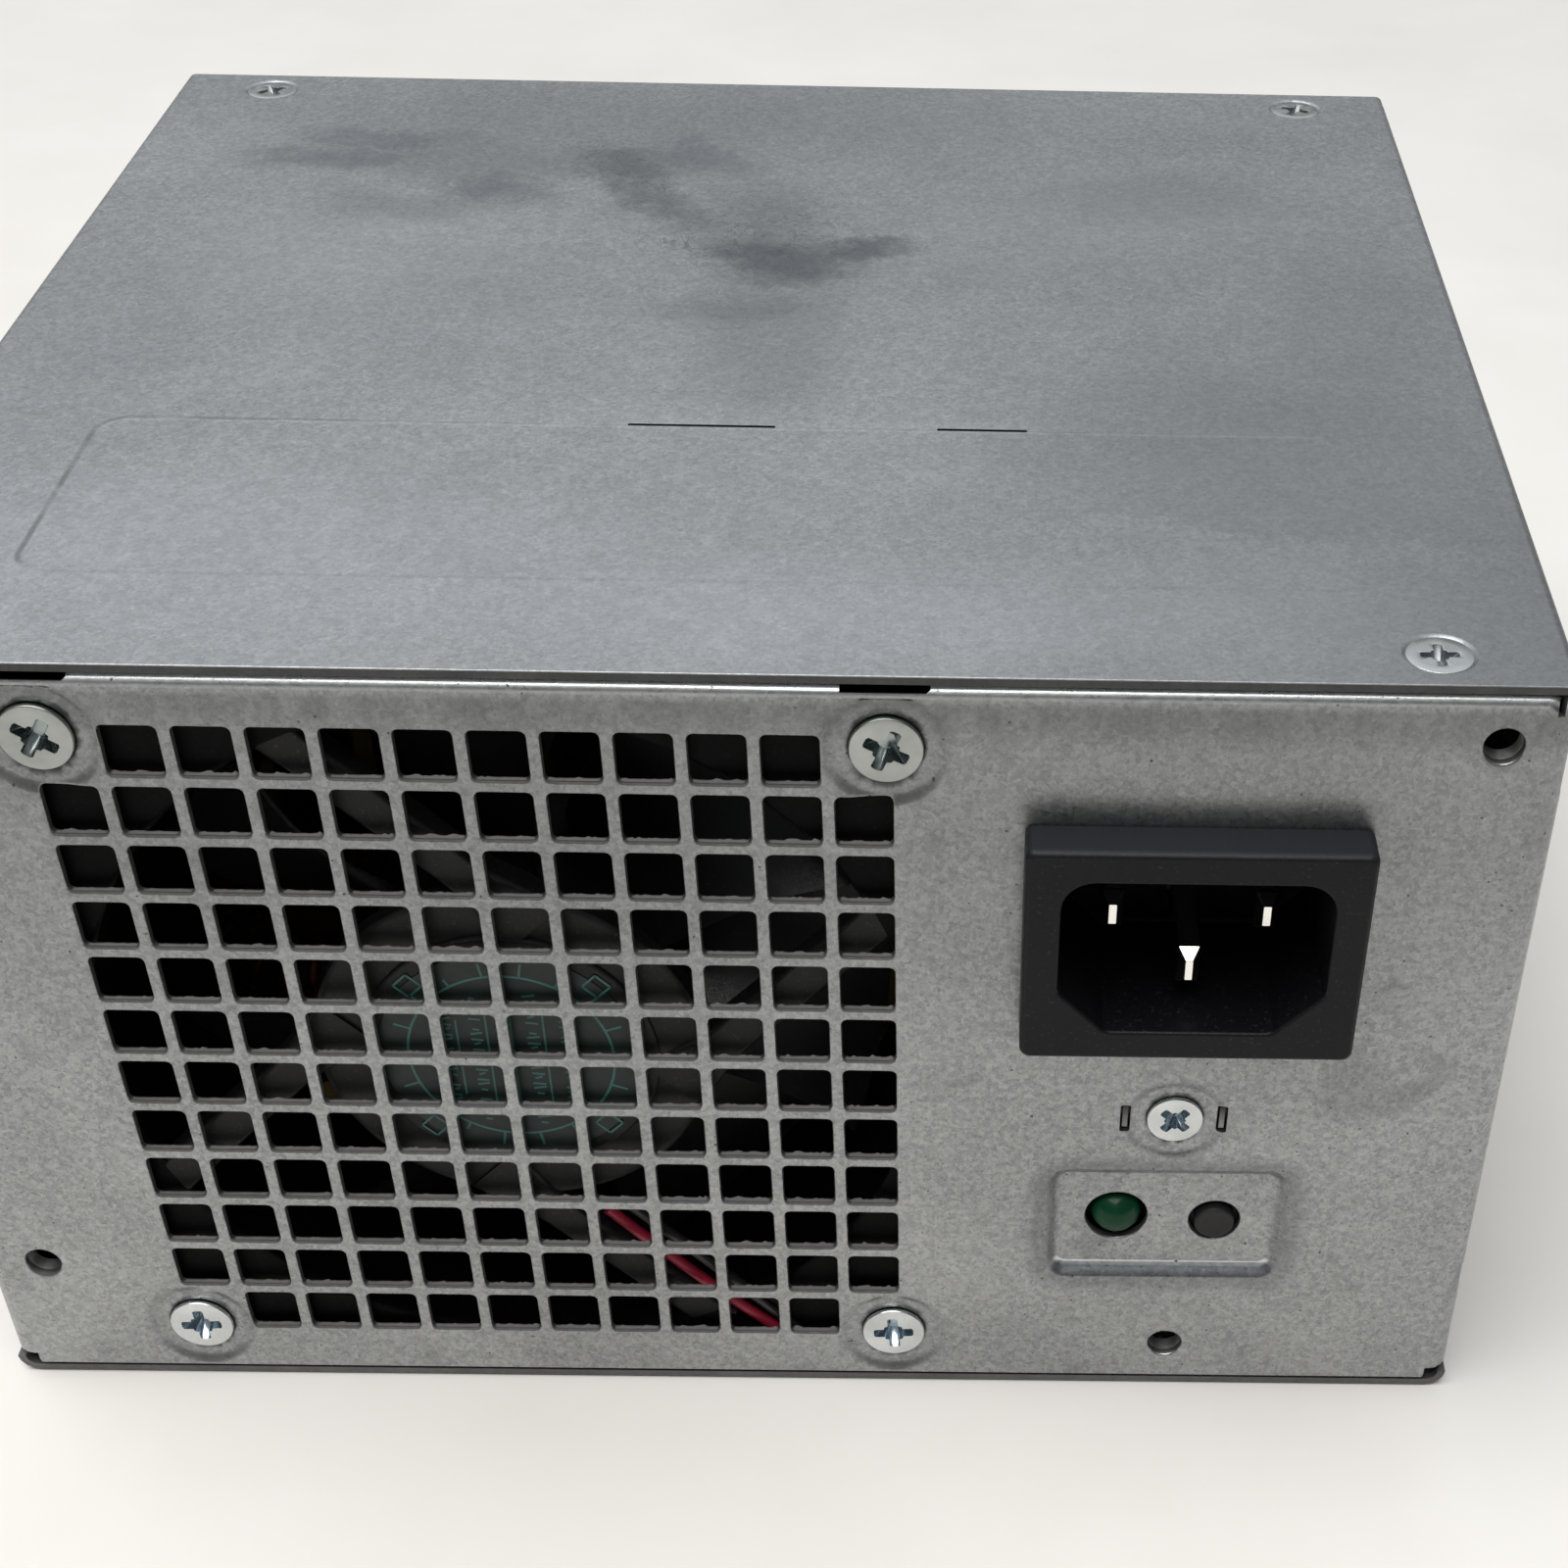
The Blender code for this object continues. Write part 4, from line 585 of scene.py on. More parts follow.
class Sheet:
    """A folded or pressed sheet, drawn flat: outline, holes, feature lines.  It is
    triangulated in the flat, then lifted by front() and folded by fold()."""

    def __init__(self, outer):
        self.v, self.e, self.outer, self.holes = [], [], list(outer), []
        self.loop(outer)

    def loop(self, pts):
        s, n = len(self.v), len(pts)
        self.v += [tuple(p) for p in pts]
        self.e += [(s + i, s + (i + 1) % n) for i in range(n)]

    def line(self, pts):
        s = len(self.v)
        self.v += [tuple(p) for p in pts]
        self.e += [(s + i, s + i + 1) for i in range(len(pts) - 1)]

    def point(self, pts):
        self.v += [tuple(p) for p in pts]

    def hole(self, pts):
        self.holes.append(list(pts))
        self.loop(pts)

    def build(self, front, thick, fold, back=None):
        out = delaunay_2d_cdt([Vector(p) for p in self.v], self.e, [], 0, 1e-5)
        pts = np.array([tuple(p) for p in out[0]], float)
        tris = np.array([f for f in out[2] if len(f) == 3], int)
        mid = pts[tris].mean(1)
        area = np.abs(np.cross(pts[tris[:, 1]] - pts[tris[:, 0]], pts[tris[:, 2]] - pts[tris[:, 0]]))
        keep = inside_poly(self.outer, mid) & (area > 1e-9)
        for h in self.holes:
            a = np.asarray(h)
            lo, hi = a.min(0), a.max(0)
            box = np.where(keep & (mid > lo).all(1) & (mid < hi).all(1))[0]
            if len(box):
                keep[box[inside_poly(h, mid[box])]] = False
        tris = tris[keep]
        used, inv = np.unique(tris, return_inverse=True)
        tris = inv.reshape(-1, 3)
        pts = pts[used]
        u, v = pts[:, 0], pts[:, 1]
        hf = front(u, v)
        hb = (back(u, v) if back else hf) + thick
        n = len(pts)
        co = np.concatenate([fold(u, v, hf), fold(u, v, hb)])
        faces = [tuple(t) for t in tris] + [tuple(int(x) + n for x in t[::-1]) for t in tris]
        self.skins = len(faces)
        count = {}
        for t in tris:
            for a, b in ((t[0], t[1]), (t[1], t[2]), (t[2], t[0])):
                count[(int(a), int(b))] = 1
        for (a, b) in list(count):
            if (b, a) not in count:
                faces.append((b, a, a + n, b + n))
        world = np.stack([co[:, 0], co[:, 1] + REAR, co[:, 2]], 1) * MM
        return world, faces


# --------------------------------------------------------------- chassis tray
R = 2.0
ARC = math.pi * R / 2
L0 = HALF - R
L1 = L0 + ARC
L2 = L1 + DEPTH - 2 * R
L3 = L2 + ARC
HALF_PERIMETER = L3 + HALF - R
TOP_R = 1.0
TOP_BEND = WALL_TOP - TOP_R
FLANGE = TOP_BEND + math.pi / 2 * TOP_R + 8.4
BOTTOM_MID = R - ARC - (HALF - R)


def tray_fold(u, v, h):
    s, a = np.sign(u) + (u == 0), np.abs(u)
    th1 = np.clip((a - L0) / R, 0, math.pi / 2)
    th2 = np.clip((a - L2) / R, 0, math.pi / 2)
    x = np.where(a <= L0, a, HALF - R + R * np.sin(th1))
    d = np.where(a <= L0, 0, R - R * np.cos(th1))
    d = d + np.clip(a - L1, 0, L2 - L1)
    nx, ny = np.sin(th1), -np.cos(th1)
    late = a > L2
    x = np.where(late, HALF - R + R * np.cos(th2), x)
    d = np.where(late, DEPTH - R + R * np.sin(th2), d)
    nx, ny = np.where(late, np.cos(th2), nx), np.where(late, np.sin(th2), ny)
    x = x - np.clip(a - L3, 0, None)
    z, nz = v.copy(), np.zeros_like(v)
    # turned-in flanges along the top of the rear and front panels
    flange = (v > TOP_BEND) & ((a < L0 + 0.3) | (a > L3 - 0.3))
    c = np.clip((v - TOP_BEND) / TOP_R, 0, math.pi / 2)
    run = (1 - np.cos(c)) * TOP_R + np.clip(v - TOP_BEND - math.pi / 2 * TOP_R, 0, None)
    z = np.where(flange, TOP_BEND + np.sin(c) * TOP_R, z)
    d = np.where(flange, d - ny * run, d)
    nz = np.where(flange, np.sin(c), nz)
    ny = np.where(flange, ny * np.cos(c), ny)
    # base sheet with its bends
    low = (v < 2.35) & (a > L0 + 0.2) & (a < L3 - 0.2)
    b = np.clip((R - v) / R, 0, math.pi / 2)
    extra = np.clip(R - v - ARC, 0, None)
    x = np.where(low, HALF - R + R * np.cos(b) - extra, x)
    z = np.where(low, R - R * np.sin(b), z)
    d = np.where(low, R + a - L1, d)
    nx, ny, nz = np.where(low, np.cos(b), nx), np.where(low, 0, ny), np.where(low, -np.sin(b), nz)
    return np.stack([s * (x - nx * h), d - ny * h, z - nz * h], 1)


def half_outline(sign):
    """Right-hand (or mirrored) half of the unfolded tray's outline, from the
    rear middle round to the front middle, then back along the top."""
    nb = 1.0
    lower = [(0, 1.2), (L0 - 0.9, 1.2), (L0 - 0.5, 1.35), (L0 - 0.35, 1.8), (L0 - 0.35, 2.75),
             (L1 + 0.25, 2.75), (L1 + 0.25, 2.05), (L1 - R + 0.25, 2.05)]
    lower += [(L1 - R + 0.25, R - ARC * k / 4) for k in range(1, 5)]
    lower += [(L1 - R + 0.25, BOTTOM_MID)]
    far = [(L2 + R - 0.25, BOTTOM_MID)]
    far += [(L2 + R - 0.25, R - ARC * k / 4) for k in range(4, 0, -1)]
    far += [(L2 + R - 0.25, 2.05), (L2 - 0.25, 2.05), (L2 - 0.25, 2.75), (L3 + 0.35, 2.75), (L3 + 0.35, 1.8),
            (L3 + 0.5, 1.35), (L3 + 0.9, 1.2), (HALF_PERIMETER, 1.2)]
    top = [(HALF_PERIMETER, FLANGE), (L3 + nb, FLANGE), (L3 + nb - 1, FLANGE - 1), (L3 + nb - 1, TOP_BEND - 0.8),
           (L3 + nb - 1.6, TOP_BEND - 0.8), (L3 + nb - 1.6, WALL_TOP), (L0 - nb + 1.6, WALL_TOP),
           (L0 - nb + 1.6, TOP_BEND - 0.8),
           (L0 - nb + 1, TOP_BEND - 0.8), (L0 - nb + 1, FLANGE - 1), (L0 - nb, FLANGE), (0, FLANGE)]
    return [(sign * a, v) for a, v in lower + far + top]


RIM = 0.22
GRILLE_N, PITCH, CELL = 12, 6.178, 5.0
GX0, GZ0 = -53.16, 77.55
fan_x, _, fan_z = ncentre("fan_frame")
screw_xy = {n: (ncentre(n)[0], ncentre(n)[2]) for n in
            ("fan_screw_1", "fan_screw_2", "fan_screw_3", "fan_screw_4", "bracket_screw")}
led_x, _, led_z = ncentre("led_lens")
but_x, _, but_z = ncentre("test_button")
inl_lo, inl_hi = nbox("inlet_housing")
inl_x, inl_z = (inl_lo[0] + inl_hi[0]) / 2, (inl_lo[2] + inl_hi[2]) / 2
MOUNT_HOLES = ((69.0, 80.0), (-69.0, 80.0), (-69.0, 16.0), (45.0, 6.0))
PAD = (32.6, 55.3, 16.4, 30.0)
PAD_DEPTH = 1.2
BOSSES = [(ncentre(f"board_screw_{i}")[0], ncentre(f"board_screw_{i}")[1]) for i in (1, 2, 3, 4)]
LID_SCREWS = [(ncentre(f"cover_screw_{i}")[0], ncentre(f"cover_screw_{i}")[1]) for i in (1, 2, 3, 4)]
CABLE = (ncentre("cable_grommet")[0], ncentre("cable_grommet")[2])

cells = [(GX0 + i * PITCH, GZ0 - j * PITCH) for j in range(GRILLE_N) for i in range(GRILLE_N)
         if not (i in (0, GRILLE_N - 1) and j in (0, GRILLE_N - 1))]
front_slots = [(-28.0 + i * 8.0, (a + b) / 2, b - a) for a, b, first in ((46.0, 74.0, 0), (14.0, 38.0, 4))
               for i in range(first, 12)]


def front_u(x):
    """Unfolded position of a point x on the front wall."""
    return math.copysign(L3 + (HALF - R) - abs(x), x) if x else HALF_PERIMETER


def dimple(r, edge, floor, depth):
    """Pressed round dimple: soft shoulder, flat floor."""
    return depth * step((edge - r) / (edge - floor))


def tray_base(u, v):
    h = np.zeros_like(u)
    rear = np.abs(u) < L0 + 0.5
    for name, (x, z) in screw_xy.items():
        r = np.hypot(u - x, v - z)
        big = name.startswith("fan")
        h += np.where(rear & (v < TOP_BEND), dimple(r, 5.9 if big else 4.95, 4.5 if big else 3.9, 0.44 if big else 0.34), 0)
        # conical seat under the screw's head
        rs = 3.45 if big else 2.95
        h += np.where(rear & (r < rs), (rs - r) * 0.9, 0)
    x0, x1, z0, z1 = PAD
    s = -sdf_rrect(u, v, (x0 + x1) / 2, (z0 + z1) / 2, x1 - x0, z1 - z0, 1.6)
    h += np.where(rear, 0.18 * step((s + 2.1) / 2.0) + (PAD_DEPTH - 0.18) * step((s + 0.75) / 1.6), 0)
    # small draw-in round the four tapped mounting holes
    for x, z in MOUNT_HOLES:
        h += np.where(rear, 0.12 * step((3.0 - np.hypot(u - x, v - z)) / 1.3), 0)
    # side walls step in behind the cover's lips
    a = np.abs(u)
    window = step((a - (L1 - 1.1)) / 1.3) * step(((L2 + 1.1) - a) / 1.3)
    h += 1.1 * step((v - (HEIGHT - 11.4)) / 1.3) * window * (v > 3)
    # pressed bosses that carry the circuit board
    for x, d in BOSSES:
        uc, vc = math.copysign(L1 + d - R, x), R - ARC - (HALF - R - abs(x))
        r = np.hypot(u - uc, v - vc)
        h += np.where(v < R - ARC, 6.1 * step((5.5 - r) / 2.7), 0)
    return h


def tray_front(u, v):
    h = tray_base(u, v)
    for x, z in cells:
        m = (np.abs(u - x) < 3.3) & (np.abs(v - z) < 3.3)
        if m.any():
            h[m] += rim(sdf_rrect(u[m], v[m], x, z, CELL, CELL, 0.55), RIM)
    for x, z, length in front_slots:
        uc = front_u(x)
        m = (np.abs(u - uc) < 3) & (np.abs(v - z) < length / 2 + 1)
        if m.any():
            h[m] += rim(sdf_rrect(u[m], v[m], uc, z, 4.0, length, 1.98), RIM)
    rounds = [(x, z, 1.75) for x, z in MOUNT_HOLES] + [(led_x, led_z, 3.1), (but_x, but_z, 2.55),
                                                      (front_u(CABLE[0]), CABLE[1], 13.0)]
    for x, z, r0 in rounds:
        m = np.hypot(u - x, v - z) < r0 + 1
        h[m] += rim(np.hypot(u[m] - x, v[m] - z) - r0, RIM)
    # rounded lower edge of the rear and front panels
    a = np.abs(u)
    edge = (a < L0 - 0.4) | (a > L3 + 0.4)
    h += np.where(edge & (v < 2), rim(v - 1.2, 0.25), 0)
    return h


def dedupe(pts):
    out = []
    for p in pts:
        if not out or math.hypot(p[0] - out[-1][0], p[1] - out[-1][1]) > 1e-6:
            out.append(p)
    if math.hypot(out[0][0] - out[-1][0], out[0][1] - out[-1][1]) < 1e-6:
        out.pop()
    return out


# The unfolded tray is cut along the front wall's middle, so the two halves
# are drawn as one outline that runs bottom-left to bottom-right and back on top.
def outline_full():
    r = half_outline(1)
    split = next(i for i, p in enumerate(r) if p[1] == FLANGE)
    lower, upper = r[:split], r[split:]
    mirrored_lower = [(-x, y) for x, y in reversed(lower)]
    mirrored_upper = [(-x, y) for x, y in reversed(upper)]
    return dedupe(mirrored_lower + lower + upper + mirrored_upper)


tray = Sheet(outline_full())
# fold lines
for sg in (-1, 1):
    for k in range(5):
        tray.line([(sg * (L0 + ARC * k / 4), 2.75 + 0.0), (sg * (L0 + ARC * k / 4), WALL_TOP)] if k < 4 else
                  [(sg * L1, 2.75), (sg * L1, WALL_TOP)])
        tray.line([(sg * (L2 + ARC * k / 4), 2.75), (sg * (L2 + ARC * k / 4), WALL_TOP)])
        tray.line([(sg * (L1 - R + 0.25), R - ARC * k / 4), (sg * (L2 + R - 0.25), R - ARC * k / 4)])
    for k in range(6):
        v = TOP_BEND + math.pi / 2 * TOP_R * k / 5
        tray.line([(sg * 0.0, v), (sg * (L0 - 1.0), v)])
        tray.line([(sg * HALF_PERIMETER, v), (sg * (L3 + 1.0), v)])
    for v in (HEIGHT - 11.4, HEIGHT - 11.1, HEIGHT - 10.75, HEIGHT - 10.4, HEIGHT - 10.1):
        tray.line([(sg * (L1 - 1.1), v), (sg * (L2 + 1.1), v)])
    for a in (L1 - 1.1, L1 - 0.7, L1 - 0.3, L1 + 0.2, L2 - 0.2, L2 + 0.3, L2 + 0.7, L2 + 1.1):
        tray.line([(sg * a, HEIGHT - 11.4), (sg * a, WALL_TOP)])
    for v in (1.26, 1.33, 1.45):
        tray.line([(0, v), (sg * (L0 - 0.5), v)])
        tray.line([(sg * HALF_PERIMETER, v), (sg * (L3 + 0.5), v)])
for x, z in cells:
    tray.hole(rrect(x, z, CELL, CELL, 0.55, 3))
    tray.loop(rrect(x, z, CELL + 2 * 0.07, CELL + 2 * 0.07, 0.62, 3))
    tray.loop(rrect(x, z, CELL + 2 * RIM, CELL + 2 * RIM, 0.55 + RIM, 3))
for x, z, length in front_slots:
    uc = front_u(x)
    tray.hole(rrect(uc, z, 4.0, length, 1.98, 5))
    tray.loop(rrect(uc, z, 4.0 + 2 * 0.07, length + 2 * 0.07, 2.05, 5))
    tray.loop(rrect(uc, z, 4.0 + 2 * RIM, length + 2 * RIM, 1.98 + RIM, 5))
for x, z in MOUNT_HOLES:
    tray.hole(circle(x, z, 1.75, 24))
    for r in (1.82, 1.97, 2.4, 3.0):
        tray.loop(circle(x, z, r, 24))
for x, z, r0, n in ((led_x, led_z, 3.1, 36), (but_x, but_z, 2.55, 32), (front_u(CABLE[0]), CABLE[1], 13.0, 48)):
    tray.hole(circle(x, z, r0, n))
    tray.loop(circle(x, z, r0 + 0.07, n))
    tray.loop(circle(x, z, r0 + RIM, n))
for name, (x, z) in screw_xy.items():
    big = name.startswith("fan")
    tray.hole(circle(x, z, 2.35 if big else 1.75, 28))
    for r in ((3.45, 4.5, 4.78, 5.06, 5.34, 5.62, 5.9) if big else (2.95, 3.9, 4.16, 4.42, 4.68, 4.95)):
        tray.loop(circle(x, z, r, 40))
px0, px1, pz0, pz1 = PAD
for s in (-2.1, -1.6, -1.1, -0.75, -0.58, -0.4, -0.22, -0.05, 0.12, 0.3, 0.48, 0.66, 0.85):
    tray.loop(rrect((px0 + px1) / 2, (pz0 + pz1) / 2, px1 - px0 - 2 * s, pz1 - pz0 - 2 * s, max(1.5 - s, 0.45), 6))
tray.hole(rrect(inl_x, inl_z, 27.2, 19.6, 0.6, 2))
for x in (39.2, 48.5):
    tray.hole(rrect(x, 37.5, 1.0, 3.3, 0.2, 2))
for x0, x1 in ((-58.3, -50.9), (12.9, 20.5)):
    tray.hole([(x0, 84.35), (x1 - 0.4, 84.35), (x1, 84.7), (x1, TOP_BEND + 3.2), (x0, TOP_BEND + 3.2)])
for x, d in BOSSES:
    uc, vc = math.copysign(L1 + d - R, x), R - ARC - (HALF - R - abs(x))
    tray.hole(circle(uc, vc, 1.6, 24))
    for r in (2.8, 3.1, 3.5, 3.9, 4.3, 4.7, 5.1, 5.5):
        tray.loop(circle(uc, vc, r, 28))
for x, d in LID_SCREWS:
    v = TOP_BEND + math.pi / 2 + (d if d < DEPTH / 2 else DEPTH - d) - 1.0
    uc = x if d < DEPTH / 2 else front_u(x)
    tray.hole(circle(uc, v, 1.75, 20))
verts, faces = tray.build(tray_front, SHEET, tray_fold, back=tray_base)
cut_faces = [0] * tray.skins + [1] * (len(faces) - tray.skins)
tray_obj = finish_mesh("tray", verts, faces, [M["rear"], M["cut"]], "case", ("chassis_tray",), sharp=50,
                       mat_index=cut_faces)

# burr and settled dust along the lower inside edge of each grille hole
def ripple(a, b, c):
    t = math.sin(a * 12.9898 + b * 78.233 + c * 37.719) * 43758.5453
    return t - math.floor(t)


crumbs = []
for n, (x, z) in enumerate(cells):
    col, row = round((x - GX0) / PITCH), round((GZ0 - z) / PITCH)
    amount = 0.10 + 0.20 * (col / 11) * (0.4 + 0.6 * row / 11) + 0.14 * ripple(col, row, 1)
    rings = []
    for k in range(17):
        px = x - 2.38 + 4.76 * k / 16
        h = amount * (0.35 + 1.3 * ripple(n, k, 2) * (0.6 + 0.4 * math.sin(k * 0.9 + n)))
        if k in (0, 16):
            h *= 0.3
        low = z - CELL / 2 - 0.06
        rings.append([(px, 0.30, low), (px, 0.34 + 0.1 * ripple(n, k, 3), low + 0.06 + h * 0.7),
                      (px, 0.50, low + 0.06 + h), (px, 0.66, low + 0.06 + h * 0.75), (px, 0.76, low)])
    crumbs.append((rings))

# ------------------------------------------------------------------- top cover
CR = 1.0
CARC = math.pi / 2 * CR
CL0 = HALF - CR
LIP = HEIGHT - 10.0


def lid_fold(u, v, h):
    s, a = np.sign(u) + (u == 0), np.abs(u)
    b = np.clip((a - CL0) / CR, 0, math.pi / 2)
    x = np.where(a <= CL0, a, CL0 + CR * np.sin(b))
    z = np.where(a <= CL0, HEIGHT, HEIGHT - CR + CR * np.cos(b)) - np.clip(a - CL0 - CARC, 0, None)
    nx, nz = np.sin(b), np.cos(b)
    return np.stack([s * (x - nx * h), v, z - nz * h], 1)


EMB = (-60.0, 59.0, 15.0, 45.2)


def lid_base(u, v):
    e0, e1, e2, e3 = EMB
    s = -sdf_rrect(u, v, (e0 + e1) / 2, (e2 + e3) / 2, e1 - e0, e3 - e2, 3.5)
    fade = 0.35 + 0.65 * np.clip((35.0 - u) / 60.0, 0, 1)
    fade = fade * (0.25 + 0.75 * np.clip((v - 16.0) / 12.0, 0, 1))
    h = 0.09 * step(s / 0.7) * fade
    for x, d in LID_SCREWS:
        r = np.hypot(u - x, v - d)
        h = h + np.where(r < 3.25, (3.25 - r) * 0.85, 0)
    # sheet is not perfectly flat
    h = h + 0.010 * (1 + np.sin(u / 15.0 + 0.6) * np.cos(v / 19.0 + 0.4))
    return h


def lid_front(u, v):
    h = lid_base(u, v)
    h = h + rim(v - 0.1, 0.10) + rim(DEPTH - 0.1 - v, 0.10)
    for x0, x1 in ((-9.5, 4.7), (20.3, 29.0)):
        h = h + rim(sdf_rrect(u, v, (x0 + x1) / 2, 45.3, x1 - x0, 0.62, 0.2), 0.12)
    return h


cover_end = CL0 + 0.85
lip_end = CL0 + CARC + 9.0
side = [(cover_end, 0.1), (cover_end, 2.3), (lip_end - 0.8, 2.3), (lip_end, 3.1), (lip_end, DEPTH - 3.1),
        (lip_end - 0.8, DEPTH - 2.3), (cover_end, DEPTH - 2.3), (cover_end, DEPTH - 0.1)]
lid = Sheet(side + [(-a, v) for a, v in reversed(side)])
for sg in (-1, 1):
    for k in range(5):
        lid.line([(sg * (CL0 + CARC * k / 4), 2.3 if k > 2 else 0.1),
                  (sg * (CL0 + CARC * k / 4), DEPTH - (2.3 if k > 2 else 0.1))])
for d in (0.13, 0.16, 0.20, 0.36, 0.8, 1.6, DEPTH - 1.6, DEPTH - 0.8, DEPTH - 0.36, DEPTH - 0.20, DEPTH - 0.16, DEPTH - 0.13):
    lid.line([(-cover_end, d), (cover_end, d)])
for s in (0.0, 0.12, 0.24, 0.36, 0.47, 0.59, 0.7):
    lid.loop(rrect((EMB[0] + EMB[1]) / 2, (EMB[2] + EMB[3]) / 2, EMB[1] - EMB[0] - 2 * s,
                   EMB[3] - EMB[2] - 2 * s, 3.5 - s, 8))
for x0, x1 in ((-9.5, 4.7), (20.3, 29.0)):
    lid.hole(rrect((x0 + x1) / 2, 45.3, x1 - x0, 0.62, 0.2, 2))
for x, d in LID_SCREWS:
    lid.hole(circle(x, d, 2.4, 40))
    for r in (3.0, 3.25, 3.34, 3.7, 4.4):
        lid.loop(circle(x, d, r, 40))
lid.point([(x, d) for x in np.arange(-72, 73, 6.0) for d in np.arange(6, 138, 6.0)
           if not (EMB[0] - 1 < x < EMB[1] + 1 and abs(d - 45) < 2)])
verts, faces = lid.build(lid_front, SHEET, lid_fold, back=lid_base)
cut_faces = [0] * lid.skins + [1] * (len(faces) - lid.skins)
lid_obj = finish_mesh("cover", verts, faces, [M["cover"], M["cut_dark"]], "case", ("top_cover",), sharp=45,
                      mat_index=cut_faces)

# ------------------------------------------------------------------ solid helpers
def lathe(profile, segments=48):
    """Turn (radius, height) pairs about the height axis.  Returns verts, faces (local mm)."""
    verts, faces, rings = [], [], []
    for r, h in profile:
        if r < 1e-6:
            rings.append([len(verts)])
            verts.append((0.0, 0.0, h))
        else:
            rings.append(list(range(len(verts), len(verts) + segments)))
            verts += [(r * math.cos(2 * math.pi * k / segments), r * math.sin(2 * math.pi * k / segments), h)
                      for k in range(segments)]
    pairs = list(zip(rings[:-1], rings[1:]))
    for a, b in pairs:
        for k in range(segments):
            k2 = (k + 1) % segments
            if len(a) == 1 and len(b) == 1:
                continue
            if len(a) == 1:
                faces.append((a[0], b[k], b[k2]))
            elif len(b) == 1:
                faces.append((a[k], b[0], a[k2]))
            else:
                faces.append((a[k], b[k], b[k2], a[k2]))
    return verts, faces


def loft(rings, caps=True):
    """Skin equal-length rings of 3-D points.  Returns verts, faces."""
    verts = [tuple(p) for ring in rings for p in ring]
    n = len(rings[0])
    faces = []
    for i in range(len(rings) - 1):
        for k in range(n):
            k2 = (k + 1) % n
            faces.append((i * n + k, (i + 1) * n + k, (i + 1) * n + k2, i * n + k2))
    if caps:
        faces.append(tuple(range(n)))
        faces.append(tuple(range((len(rings) - 1) * n, len(rings) * n))[::-1])
    return verts, faces


def rear_axis(x, d, z):
    """Local height axis points out of the rear panel; local x stays x."""
    return Matrix.Translation(P(x, d, z)) @ Matrix(((1, 0, 0), (0, 0, -1), (0, 1, 0))).to_4x4() \
        @ Matrix.Scale(MM, 4)


def up_axis(x, d, z):
    return Matrix.Translation(P(x, d, z)) @ Matrix.Scale(MM, 4)


def placed(verts, matrix):
    return [matrix @ Vector(v) for v in verts]


def merged(*parts):
    """Several (verts, faces) as one pair, each still its own closed shell."""
    verts, faces = [], []
    for v, f in parts:
        n = len(verts)
        verts += list(v)
        faces += [tuple(i + n for i in t) for t in f]
    return verts, faces


def carve(verts, faces, tools, bevel=0.0, segments=2, angle=35.0, join=()):
    """Exact Boolean of local-mm meshes; returns local-mm verts, faces."""
    objs = []

    def make(v, f, name):
        me = bpy.data.meshes.new(name)
        me.from_pydata([tuple(p) for p in v], [], [tuple(t) for t in f])
        b = bmesh.new()
        b.from_mesh(me)
        bmesh.ops.recalc_face_normals(b, faces=b.faces)
        b.to_mesh(me)
        b.free()
        o = bpy.data.objects.new(name, me)
        bpy.context.scene.collection.objects.link(o)
        objs.append(o)
        return o

    base = make(verts, faces, "carve_base")
    for op, group in (("UNION", join), ("DIFFERENCE", tools)):
        for i, (v, f) in enumerate(group):
            tool = make(v, f, f"carve_{op}_{i}")
            m = base.modifiers.new(f"b{op}{i}", "BOOLEAN")
            m.operation, m.solver, m.object = op, "EXACT", tool
    if bevel:
        m = base.modifiers.new("bevel", "BEVEL")
        m.width, m.segments, m.limit_method = bevel, segments, "ANGLE"
        m.angle_limit = math.radians(angle)
        m.use_clamp_overlap = True
    deps = bpy.context.evaluated_depsgraph_get()
    me = bpy.data.meshes.new_from_object(base.evaluated_get(deps))
    out_v = [tuple(v.co) for v in me.vertices]
    out_f = [tuple(p.vertices) for p in me.polygons]
    for o in objs:
        bpy.data.objects.remove(o)
    bpy.data.meshes.remove(me)
    return out_v, out_f


def box_mesh(x, y, z):
    v = [(a, b, c) for a in x for b in y for c in z]
    return v, [(0, 1, 3, 2), (4, 6, 7, 5), (0, 4, 5, 1), (2, 3, 7, 6), (0, 2, 6, 4), (1, 5, 7, 3)]


def catmull(points, per=6):
    pts = [Vector(p) for p in points]
    ends = [pts[0] * 2 - pts[1]] + pts + [pts[-1] * 2 - pts[-2]]
    out = []
    for i in range(1, len(ends) - 2):
        a, b, c, e = ends[i - 1:i + 3]
        for k in range(per):
            t = k / per
            out.append(0.5 * ((2 * b) + (c - a) * t + (2 * a - 5 * b + 4 * c - e) * t * t
                              + (3 * b - a - 3 * c + e) * t ** 3))
    out.append(pts[-1])
    return out


def frames(path):
    """Rotation-minimising frames along a path of points."""
    tangents = []
    for i in range(len(path)):
        a, b = path[max(i - 1, 0)], path[min(i + 1, len(path) - 1)]
        tangents.append((b - a).normalized())
    n = Vector((0, 0, 1)) if abs(tangents[0].z) < 0.9 else Vector((1, 0, 0))
    n = (n - tangents[0] * n.dot(tangents[0])).normalized()
    out = []
    for t in tangents:
        n = (n - t * n.dot(t)).normalized()
        out.append((t, n, t.cross(n)))
    return out


